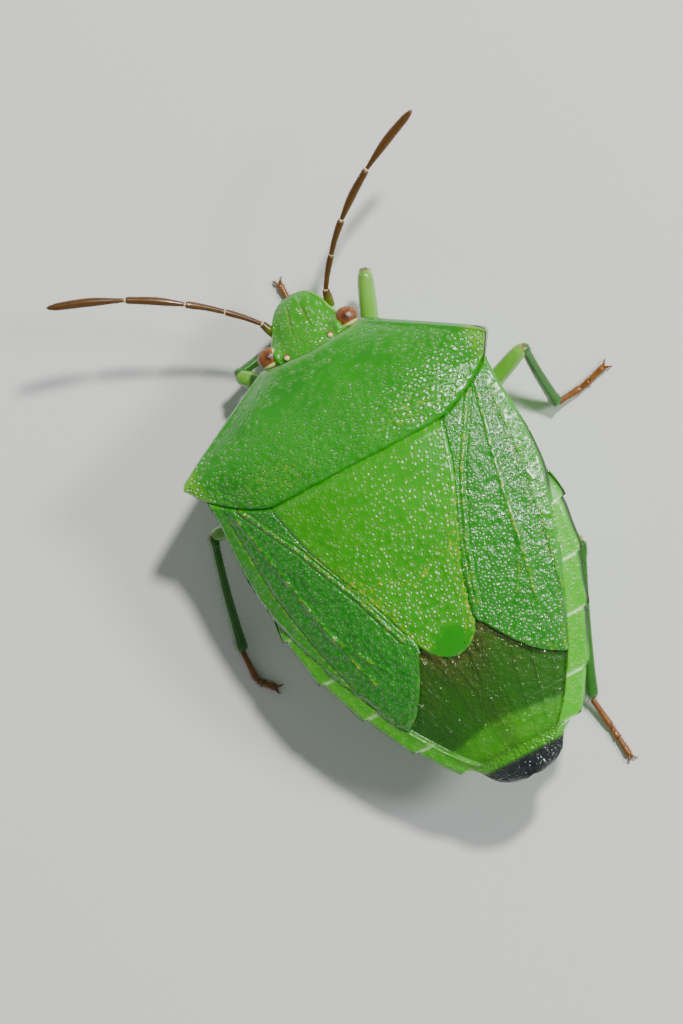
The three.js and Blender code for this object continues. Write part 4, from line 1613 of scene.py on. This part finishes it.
@dataclass
class Thorax:
    """The thorax's underside with its side plates, and the sockets that the legs turn in."""

    rows: int = 240
    top: int = 50
    bottom: int = 240
    start_y: float = -1.45
    end_y: float = 3.45
    pits: Pits = Pits(0.13, 0.034, depth=0.02, lip=0.005, seed=51)
    widest: Profile = Profile([(-1.45, 1.2), (-0.6, 2.85), (0.0, 3.5), (0.6, 3.52), (3.45, 3.5)])
    front_seam: Route = ((0.3, 0.75), (1.4, 0.72), (3.4, 0.35))
    rear_seam: Route = ((0.3, 2.35), (1.5, 2.3), (3.4, 2.0))
    below_back: float = 0.3
    belly_top: float = 0.34
    inside_edge: float = 0.1
    socket_radius: float = 0.42
    socket_height: float = 0.06
    seam_height: float = 0.05
    keel_height: float = 0.1
    ripple_height: float = 0.012

    def build(self) -> None:
        """Makes the piece."""
        along = np.linspace(self.start_y, self.end_y, self.rows)
        half = HALF_WIDTH(along) - self.inside_edge - 0.08 * smoothstep(0.6, 0.0, along)
        half = np.minimum(half, self.widest(along))
        u, y = np.meshgrid(np.linspace(-1, 1, self.top), along)
        below_u, below_y = np.meshgrid(across_belly(self.bottom), along)
        x, below_x = u * half[:, None], below_u * half[:, None]
        reach = np.clip(np.abs(below_x) / half[:, None], 0, 1)
        under = dorsal(half, along)[:, None] - self.belly_top
        relief, below = self._relief(below_x, below_y)
        below_z = under - (under - BELLY(below_y)) * (1 - reach**BELLY_POWER) + relief
        z = dorsal(x, y) - self.below_back
        body = back_and_belly((x, y, z), (below_x, below_y, below_z), {}, below)
        piece("thorax_underside", body, Finish.UNDERSIDE, ["thorax"])

    def _relief(self, x: Array, y: Array) -> tuple[Array, Masks]:
        """Forms the sockets, the seams, the pits and the keel under the belly.

        Args:
            x: Places across, in millimetres.
            y: Places along.

        Returns:
            The heights that they add, and the masks.
        """
        out = np.abs(x)
        seams = np.minimum(distance_to(out, y, self.front_seam), distance_to(out, y, self.rear_seam))
        sockets = np.zeros_like(out)
        for leg in LEGS:
            if leg.side > 0:
                away = np.hypot(out - leg.hip[0] - 0.05, y - leg.hip[1])
                sockets = np.maximum(sockets, bell(away, self.socket_radius))
        ripples = spot(out, y, (2.0, 1.75), (0.55, 0.3))
        keep = 0.8 * (1 - sockets) * smoothstep(0.05, 0.12, seams) * (1 - ripples)
        pit, lip = self.pits.scatter(x, y, keep)
        relief = self.seam_height * bell(seams, 0.04) - self.pits.relief(pit, lip)
        relief += self.socket_height * sockets
        relief += self.ripple_height * ripples * np.sin(out * 40 + 3 * noise(out, y, 0.4, 52))
        relief += self.keel_height * bell(out, 0.22) * smoothstep(-1.2, -0.6, y)
        return relief, {
            "pit": pit, "lip": lip, "bar": 0.4 * sockets,
            "second": np.clip(0.8 * bell(seams, 0.05) + 0.5 * ripples, 0, 1),
        }


@dataclass
class Head:
    """The flat wedge of a head, its two simple eyes, its faceted eyes and the feelers' sockets."""

    rows: int = 170
    around: int = 300
    rear_y: float = -1.3
    pits: Pits = Pits(0.115, 0.032, depth=0.02, lip=0.005, seed=61)
    eye_centre: Point = (1.02, -1.74, 2.1)
    eye_radii: Point = (0.27, 0.24, 0.24)
    facet_height: float = 0.02
    ocellus: Point = (0.57, -1.56, 2.385)
    ocellus_radii: Point = (0.075, 0.075, 0.07)
    half: Profile = Profile([
        (HEAD_TIP_Y, 0.02), (-2.775, 0.14), (-2.75, 0.27), (-2.68, 0.42), (-2.55, 0.56), (-2.4, 0.66),
        (-2.15, 0.76), (-1.95, 0.88), (-1.75, 1.0), (-1.5, 1.04), (-1.3, 1.02),
    ])
    crest: Profile = Profile([
        (HEAD_TIP_Y, 1.66), (-2.7, 1.8), (-2.4, 2.02), (-1.9, 2.3), (-1.5, 2.46), (-1.3, 2.5),
    ])
    brim: Profile = Profile([(HEAD_TIP_Y, 1.62), (-2.4, 1.82), (-1.9, 2.0), (-1.3, 2.1)])
    chin: Profile = Profile([(HEAD_TIP_Y, 1.58), (-2.7, 1.45), (-2.4, 1.32), (-1.8, 1.22), (-1.3, 1.32)])
    row_crowding: float = 1.5
    corner_power: float = 0.85
    crest_power: float = 2.4
    chin_power: float = 2.2
    groove: Route = ((0.15, -2.72), (0.19, -2.3), (0.24, -1.95))
    groove_depth: float = 0.028
    swell: float = 0.012
    edge_height: float = 0.02
    socket_height: float = 0.17

    def build(self) -> None:
        """Makes the head and its eyes."""
        self._capsule()
        for side, word in ((1, "left"), (-1, "right")):
            self._eye(side, word)
            self._ocellus(side, word)

    def _capsule(self) -> None:
        """Makes the head itself."""
        along = mix(HEAD_TIP_Y, self.rear_y, np.linspace(0, 1, self.rows) ** self.row_crowding)
        turn = np.linspace(0, 2 * np.pi, self.around, endpoint=False)
        angle, y = np.meshgrid(turn, along)
        half = self.half(y)
        x = half * np.sign(np.cos(angle)) * np.abs(np.cos(angle)) ** self.corner_power
        out = np.abs(x)
        reach = np.clip(out / np.maximum(half, 1e-6), 0, 1)
        rise = (self.crest(y) - self.brim(y)) * (1 - reach**self.crest_power)
        fall = (self.brim(y) - self.chin(y)) * (1 - reach**self.chin_power)
        above = np.sin(angle) >= 0
        groove = distance_to(out, y, self.groove)
        keep = 0.78 * above * smoothstep(0.02, 0.1, half - out) * smoothstep(HEAD_TIP_Y + 0.02, -2.6, y)
        keep *= smoothstep(0.06, 0.12, np.hypot(out - self.ocellus[0], y - self.ocellus[1]))
        pit, lip = self.pits.scatter(x, y, keep)
        relief = self.pits.relief(pit, lip) - self.groove_depth * bell(groove, 0.03)
        relief += self.swell * noise(x, y, 0.25, 62) + self.edge_height * bell(half - out - 0.04, 0.03)
        relief += self.socket_height * spot(out, y, (0.83, -1.7), (0.15, 0.2))
        z = self.brim(y) + np.where(above, rise + relief, -fall)
        brown = bell(groove, 0.03) * smoothstep(-2.0, -2.1, y) * smoothstep(-2.5, -2.4, y)
        masks = {
            "pit": pit, "lip": lip, "third": 0.5 * brown * above,
            "second": smoothstep(0.05, 0.015, half - out) * 0.8 + 0.5 * ~above,
        }
        capsule = closed_body(np.stack([x, y, z], axis=-1), masks, turned=True)
        piece("head_capsule", capsule, Finish.HEAD, ["head"])

    def _eye(self, side: int, word: str) -> None:
        """Makes one faceted eye, with a pale margin against the pronotum and a painted dark spot turned to
        the camera.

        Args:
            side: 1 for the left and -1 for the right.
            word: The side's name.
        """
        facets, _ = icosphere(3)
        lattice = kdtree.KDTree(len(facets))
        for i, place in enumerate(facets):
            lattice.insert(place, i)
        lattice.balance()
        points, faces = icosphere(5)
        gap = np.array([lattice.find(place)[2] for place in points])
        gap /= gap.max()
        dome = 1 + self.facet_height * (1 - gap**2)
        centre = np.array(self.eye_centre) * (side, 1, 1)
        shape = Shape(points * dome[:, None] * np.array(self.eye_radii) + centre, faces)
        # Painted shade: a dark spot on the side of each eye that faces the camera, the same on both eyes,
        # standing for the eye's dark pupil that follows the viewer.
        dark = bell(np.linalg.norm(points - np.array([-0.25, -0.1, 0.96]), axis=1), 0.42)
        rim = smoothstep(0.5, 0.62, points[:, 1]) + smoothstep(0.6, 0.75, -points[:, 0] * side)
        shape.mask("pit", smoothstep(0.72, 1.0, gap)).mask("second", 0.9 * dark)
        shape.mask("bar", np.clip(rim, 0, 1))
        piece(f"eye_{word}_facets", shape, Finish.EYE, [f"eye_{word}"])

    def _ocellus(self, side: int, word: str) -> None:
        """Makes one simple eye: a cream bead with a red rim.

        Args:
            side: 1 for the left and -1 for the right.
            word: The side's name.
        """
        x, y, z = self.ocellus
        bead = ball((side * x, y, z), self.ocellus_radii)
        height = (bead.points[:, 2] - z) / self.ocellus_radii[2]
        forward = (y - bead.points[:, 1]) / self.ocellus_radii[1]
        bead.mask("second", smoothstep(0.75, 0.5, height - 0.55 * forward))
        piece(f"ocellus_{word}", bead, Finish.OCELLUS, [])


def icosphere(times: int) -> tuple[Array, list[tuple[int, ...]]]:
    """A ball of triangles with a radius of 1.

    Args:
        times: How many times its triangles are split in four.

    Returns:
        Its points and faces.
    """
    gold = (1 + math.sqrt(5)) / 2
    points = [Vector(p).normalized() for p in (
        (-1, gold, 0), (1, gold, 0), (-1, -gold, 0), (1, -gold, 0), (0, -1, gold), (0, 1, gold),
        (0, -1, -gold), (0, 1, -gold), (gold, 0, -1), (gold, 0, 1), (-gold, 0, -1), (-gold, 0, 1),
    )]
    faces = [
        (0, 11, 5), (0, 5, 1), (0, 1, 7), (0, 7, 10), (0, 10, 11), (1, 5, 9), (5, 11, 4), (11, 10, 2),
        (10, 7, 6), (7, 1, 8), (3, 9, 4), (3, 4, 2), (3, 2, 6), (3, 6, 8), (3, 8, 9), (4, 9, 5),
        (2, 4, 11), (6, 2, 10), (8, 6, 7), (9, 8, 1),
    ]
    for _ in range(times):
        halves: dict[tuple[int, int], int] = {}
        split = []
        for a, b, c in faces:
            middles = []
            for p, q in ((a, b), (b, c), (c, a)):
                key = (min(p, q), max(p, q))
                if key not in halves:
                    halves[key] = len(points)
                    points.append((points[p] + points[q]).normalized())
                middles.append(halves[key])
            ab, bc, ca = middles
            split += [(a, ab, ca), (b, bc, ab), (c, ca, bc), (ab, bc, ca)]
        faces = split
    return np.array([tuple(p) for p in points]), faces


# The feelers, the beak and the legs

HAIR_RADIUS = 0.004
COARSE_HAIR_RADIUS = 0.0045


@dataclass
class Antenna:
    """A five-jointed feeler with pale rings at its joints, raised outwards and forwards."""

    side: int
    word: str
    joints: tuple[Point, ...] = (
        (0.74, -2.12, 1.72), (0.84, -2.5, 1.9), (1.4, -3.13, 2.18), (2.06, -3.7, 2.48),
        (3.18, -4.42, 2.76), (4.8, -5.09, 3.05),
    )
    radii: tuple[tuple[float, float, float], ...] = (
        (0.085, 0.105, 0.09), (0.055, 0.066, 0.075), (0.06, 0.072, 0.085), (0.06, 0.095, 0.085),
        (0.055, 0.105, 0.03),
    )
    ring_radius: float = 0.055
    hair_length: float = 0.07

    def build(self) -> None:
        """Makes the piece."""
        parts = []
        for i, (start, middle, end) in enumerate(self.radii):
            a, b = (np.array(joint) * (self.side, 1, 1) for joint in self.joints[i:i + 2])
            bend = np.cross(b - a, [0, 0, 1]) * 0.02 * self.side
            last = i == len(self.radii) - 1
            before_end, at_end = (0.09, 0.05) if last else (end, end * 0.95)
            stops = [
                (0, 0.02), (0.02, start * 0.8), (0.08, start), (0.5, middle), (0.85, before_end),
                (0.97, at_end), (1, 0.02),
            ]
            shaft = limb([a, (a + b) / 2 + bend, b], stops, count=70, sides=22)
            along = shaft.masks["along"]
            shaft.mask("bar", smoothstep(0.965, 0.985, along) * (not last) * 0.9)
            shaft.mask("second", float(i == 0) * smoothstep(0.9, 0.3, along))
            parts.append(shaft)
            count = 120 if i > 2 else 60
            lean = (b - a) / np.linalg.norm(b - a) * 0.8
            coat = hairs(shaft, count, self.hair_length, lean, 70 + i, HAIR_RADIUS)
            parts.append(coat.mask("third", 1.0))
            if not last:
                ring = ball(tuple(b), (self.ring_radius,) * 3, 16, 10)
                parts.append(ring.mask("bar", 0.8))
        made = joined(parts)
        piece(f"antenna_{self.word}_joints", made, Finish.ANTENNA, [f"antenna_{self.word}"])


@dataclass
class Beak:
    """The jointed beak, folded back between the hips."""

    points: tuple[Point, ...] = (
        (0, -2.3, 1.2), (0, -1.2, 0.95), (0, 0.3, 0.85), (0, 1.6, 0.74), (0, 2.2, 0.72),
    )
    root_radius: float = 0.16
    taper: float = 0.02

    def build(self) -> None:
        """Makes the piece."""
        parts = []
        for i, ends in enumerate(zip(self.points, self.points[1:])):
            last = i == len(self.points) - 2
            radius = self.root_radius - self.taper * i
            stops = [(0, 0.05), (0.05, radius), (0.9, radius * 0.9), (1, 0.02 if last else 0.05)]
            shaft = limb(ends, stops, count=40, sides=24)
            along = shaft.masks["along"]
            shaft.mask("bar", smoothstep(0.9, 0.98, along))
            shaft.mask("second", last * smoothstep(0.3, 0.9, along))
            parts.append(shaft)
        piece("beak_joints", joined(parts), Finish.BEAK, ["beak"])


@dataclass(frozen=True)
class Leg:
    """One leg: points are [out, back, up] from the axis, and the foot runs on the floor past its bend."""

    name: str
    side: int
    hip: Point
    knee: Point
    ankle: tuple[float, float]
    bend: tuple[float, float]
    toe: tuple[float, float]
    ankle_up: float = 0.28
    hip_ball: Point = (0.34, 0.34, 0.3)
    hip_ball_up: float = 0.12
    thigh: float = 0.21
    shin: float = 0.125
    foot: float = 0.085
    thigh_hair: float = 0.07
    shin_hair: float = 0.12
    foot_hair: float = 0.09

    def at(self, point: Sequence[float], up: float | None = None) -> Array:
        """Returns a point on this leg's own side."""
        return np.array([self.side * point[0], point[1], point[2] if up is None else up])

    def build(self) -> None:
        """Makes the thigh, the shin and the foot."""
        hip, knee = self.at(self.hip), self.at(self.knee)
        ankle = self.at(self.ankle, self.ankle_up)
        self._thigh(hip, knee)
        self._shin(knee, ankle)
        self._foot(ankle)

    def _thigh(self, hip: Array, knee: Array) -> None:
        """Makes the hip's ball, the ring that joins it and the thigh.

        Args:
            hip: The hip's place.
            knee: The knee's place.
        """
        way = (knee - hip) / np.linalg.norm(knee - hip)
        r = self.thigh
        socket = ball(tuple(hip + np.array([0, 0, self.hip_ball_up])), self.hip_ball)
        ring_stops = [(0, 0.12), (0.3, 0.2), (0.8, 0.19), (1, 0.1)]
        ring = limb([hip - way * 0.05, hip + way * 0.28], ring_stops, 30)
        stops = [
            (0, 0.08), (0.03, 0.15), (0.15, r * 0.9), (0.45, r), (0.8, r * 0.95), (0.95, r * 0.78),
            (1, 0.1),
        ]
        route = [hip + way * 0.2, (hip + knee) / 2 + [0, 0, 0.06], knee]
        shaft = limb(route, stops, 90, sides=32, flat=1.05)
        along = shaft.masks["along"]
        shaft.mask("bar", 0.7 * smoothstep(0.93, 0.99, along))
        shaft.mask("second", 0.5 * smoothstep(0.97, 1.0, along))
        coat = hairs(shaft, 70, self.thigh_hair, way * 0.8, 81, HAIR_RADIUS).mask("third", 0.8)
        shape = joined([socket, ring, shaft, coat])
        piece(f"{self.name}_thigh", shape, Finish.FEMUR, [f"{self.name}_femur"])

    def _shin(self, knee: Array, ankle: Array) -> None:
        """Makes the ridged and hairy shin.

        Args:
            knee: The knee's place.
            ankle: The ankle's place.
        """
        way = (ankle - knee) / np.linalg.norm(ankle - knee)
        r = self.shin
        stops = [
            (0, 0.05), (0.02, r * 0.9), (0.06, r * 0.95), (0.12, r * 0.8), (0.5, r * 0.88), (0.85, r),
            (0.96, r * 1.15), (1, 0.06),
        ]
        middle = (knee + ankle) / 2 + np.cross(way, [0, 0, 1]) * 0.03
        shaft = limb([knee - way * 0.02, middle, ankle], stops, 100, sides=36, ridges=4, ridge_height=0.07)
        along = shaft.masks["along"]
        shaft.mask("bar", 0.55 * smoothstep(0.04, 0.0, along) + 0.8 * smoothstep(0.9, 0.97, along))
        coat = hairs(shaft, 220, self.shin_hair, way * 0.9, 83, COARSE_HAIR_RADIUS).mask("third", 0.9)
        shape = joined([shaft, coat])
        piece(f"{self.name}_shin", shape, Finish.TIBIA, [f"{self.name}_tibia"])

    def _foot(self, ankle: Array) -> None:
        """Makes the three joints of the foot with their pads, and its two claws.

        Args:
            ankle: The ankle's place.
        """
        r = self.foot
        bend, toe = self.at(self.bend, r), self.at(self.toe, r)
        middle = mix(bend, toe, 0.35)
        track = [ankle, bend, middle, toe]
        stops = [(0, 0.03), (0.06, r * 0.75), (0.5, r * 0.85), (0.85, r), (0.97, r * 0.8), (1, 0.02)]
        joint_floor, hair_floor, claw_tip_up = 0.002, 0.001, 0.015
        parts = []
        for i, (a, b) in enumerate(zip(track, track[1:])):
            way = (b - a) / np.linalg.norm(b - a)
            joint = limb([a, b], stops, 40, sides=20)
            joint.points[:, 2] = np.maximum(joint.points[:, 2], joint_floor)
            lean = way * 0.9 - np.array([0, 0, 0.25])
            coat = hairs(joint, 90, self.foot_hair, lean, 85 + i, COARSE_HAIR_RADIUS).mask("third", 0.8)
            coat.points[:, 2] = np.maximum(coat.points[:, 2], hair_floor)
            parts += [joint, coat]
        across = np.cross(way, [0, 0, 1])
        for spread in (-1, 1):
            root = toe - way * 0.02
            out = root + way * 0.1 + across * 0.07 * spread + [0, 0, 0.03]
            tip = root + way * 0.17 + across * 0.12 * spread
            tip[2] = claw_tip_up
            claw = limb([root, out, tip], [(0, 0.035), (0.4, 0.03), (1, 0.004)], 24, sides=10)
            parts.append(claw.mask("second", smoothstep(0.3, 0.8, claw.masks["along"])))
        piece(f"{self.name}_foot", joined(parts), Finish.FOOT, [f"{self.name}_tarsus"])


FRONT_HIP = (0.75, -0.4, 0.8)
MIDDLE_HIP = (1.2, 1.8, 0.85)
HIND_HIP = (0.85, 2.95, 0.85)

LEGS = (
    Leg("leg_front_right", -1, FRONT_HIP, (1.71, -2.5, 1.3), (0.85, -1.05), (0.5, -1.35), (0.1, -1.8)),
    Leg("leg_front_left", 1, FRONT_HIP, (2.1, -1.75, 1.25), (0.62, -2.1), (0.5, -2.6), (0.5, -3.15)),
    Leg("leg_middle_right", -1, MIDDLE_HIP, (4.25, 0.72, 1.85), (3.96, 2.2), (4.6, 2.15), (5.27, 1.97)),
    Leg("leg_middle_left", 1, MIDDLE_HIP, (4.34, 1.19, 1.35), (5.29, 3.85), (5.36, 4.6), (5.05, 4.93)),
    Leg("leg_hind_right", -1, HIND_HIP, (3.2, 5.2, 1.3), (1.46, 8.5), (1.5, 9.3), (1.57, 10.04)),
    Leg("leg_hind_left", 1, HIND_HIP, (3.2, 4.2, 1.3), (2.5, 7.4), (2.15, 8.05), (1.65, 8.65)),
)


# The stage


@dataclass(frozen=True)
class Lamp:
    """A round lamp, hung on a way from the bug that is given in the camera's right, up and back."""

    name: str
    way: tuple[float, float, float]
    distance: float
    size: float
    power: float
    colour: tuple[float, float, float]

    def hang(self, axes: Sequence[Vector], middle: Vector) -> None:
        """Puts the lamp up and turns it to the bug.

        Args:
            axes: The camera's right, up and back.
            middle: The place that it shines on.
        """
        data = bpy.data.lights.new(self.name, "AREA")
        data.shape = "DISK"
        data.size = self.size
        data.energy = self.power
        data.color = self.colour
        way = sum((axis * part for axis, part in zip(axes, self.way)), Vector((0, 0, 0)))
        turn = way.to_track_quat("Z", "Y").to_matrix().to_4x4()
        lamp = placed(self.name, data)
        lamp.matrix_world = Matrix.Translation(middle + way.normalized() * self.distance) @ turn


LAMPS = (
    Lamp("key", (0.2, 0.54, 1.0), distance=0.25, size=0.02, power=0.7, colour=(1.0, 0.98, 0.95)),
    Lamp("sheen", (0.8, 0.2, 1.0), distance=0.25, size=0.05, power=0.36, colour=(0.97, 0.99, 1.0)),
    Lamp("fill", (-1.3, 0.4, 0.5), distance=0.3, size=0.25, power=0.03, colour=(0.95, 0.98, 1.0)),
    Lamp("low", (0.3, -1.3, 0.5), distance=0.3, size=0.25, power=0.05, colour=(1.0, 1.0, 1.0)),
)


@dataclass
class Studio:
    """The camera, the pale floor and the lights."""

    tilt_deg: float = 14.5
    centre_right: float = -0.894
    centre_forward: float = -2.09
    centre_up: float = 3.2
    distance: float = 200.0
    view_height: float = 22.96
    sensor: float = 36.0
    image_right: tuple[float, float] = (0.883, -0.469)
    floor_half: float = 0.6
    lit_place: Point = (0, 2.5, 2.0)
    room_colour: tuple[float, float, float, float] = (0.95, 0.98, 1.0, 1)
    room_strength: float = 0.23

    def ways(self) -> tuple[Vector, Vector]:
        """Returns the tilted way to the bug's right and the way forward, in the solids' frame."""
        tilt = math.radians(self.tilt_deg)
        return Vector((-math.cos(tilt), 0, -math.sin(tilt))), Vector((0, -1, 0))

    def axes(self) -> tuple[Vector, Vector, Vector]:
        """The camera's own directions.

        Returns:
            Its right, up and back, in the solids' frame.
        """
        right_way, forward_way = self.ways()
        across, down = self.image_right
        right = (right_way * across + forward_way * down).normalized()
        up = (forward_way * across - right_way * down).normalized()
        return right, up, right.cross(up)

    def place_camera(self) -> None:
        """Puts the camera where the photograph was taken from."""
        right_way, forward_way = self.ways()
        right, up, back = self.axes()
        target = ORIGIN.point((0, 0, self.centre_up))
        target += right_way * self.centre_right * MM
        target += forward_way * self.centre_forward * MM
        data = bpy.data.cameras.new("photograph")
        data.sensor_width = self.sensor
        data.lens = self.sensor * self.distance / self.view_height
        data.clip_start = 0.01
        data.clip_end = 10.0
        camera = placed("photograph", data)
        turn = Matrix((right, up, back)).transposed().to_4x4()
        camera.matrix_world = Matrix.Translation(target + back * self.distance * MM) @ turn
        bpy.context.scene.camera = camera
        LOG.info("camera at %s", [round(c, 4) for c in camera.matrix_world.translation])

    def lay_floor(self) -> None:
        """Makes the plain pale floor."""
        material, _, _ = new_material("pale floor", Base_Color=srgb(226, 227, 224), Roughness=0.7)
        half = self.floor_half
        corners = [(-half, -half, 0), (half, -half, 0), (half, half, 0), (-half, half, 0)]
        mesh = bpy.data.meshes.new("floor")
        mesh.from_pydata(corners, [], [(0, 1, 2, 3)])
        mesh.materials.append(material)
        placed("floor", mesh)

    def light(self) -> None:
        """Hangs the key light to the photograph's upper right, with soft light all round."""
        world = bpy.data.worlds.new("soft room")
        world.use_nodes = True
        background = world.node_tree.nodes["Background"]
        background.inputs["Color"].default_value = self.room_colour
        background.inputs["Strength"].default_value = self.room_strength
        bpy.context.scene.world = world
        for lamp in LAMPS:
            lamp.hang(self.axes(), ORIGIN.point(self.lit_place))


def write_sizes() -> None:
    """Updates the view layer, so that every placement is current."""
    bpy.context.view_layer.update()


def main() -> None:
    """Builds the stage and then the bug, part by part."""
    logging.basicConfig(level=logging.INFO, format="%(name)s %(message)s")
    studio = Studio()
    studio.place_camera()
    studio.lay_floor()
    studio.light()
    parts = [Pronotum(), Scutellum(), Head(), Thorax(), Abdomen(), Beak()]
    for side, word in ((1, "left"), (-1, "right")):
        parts += [Forewing(side, word), Membrane(side, word), Antenna(side, word)]
    for part in (*parts, *LEGS):
        part.build()
    write_sizes()


if __name__ == "__main__":
    main()
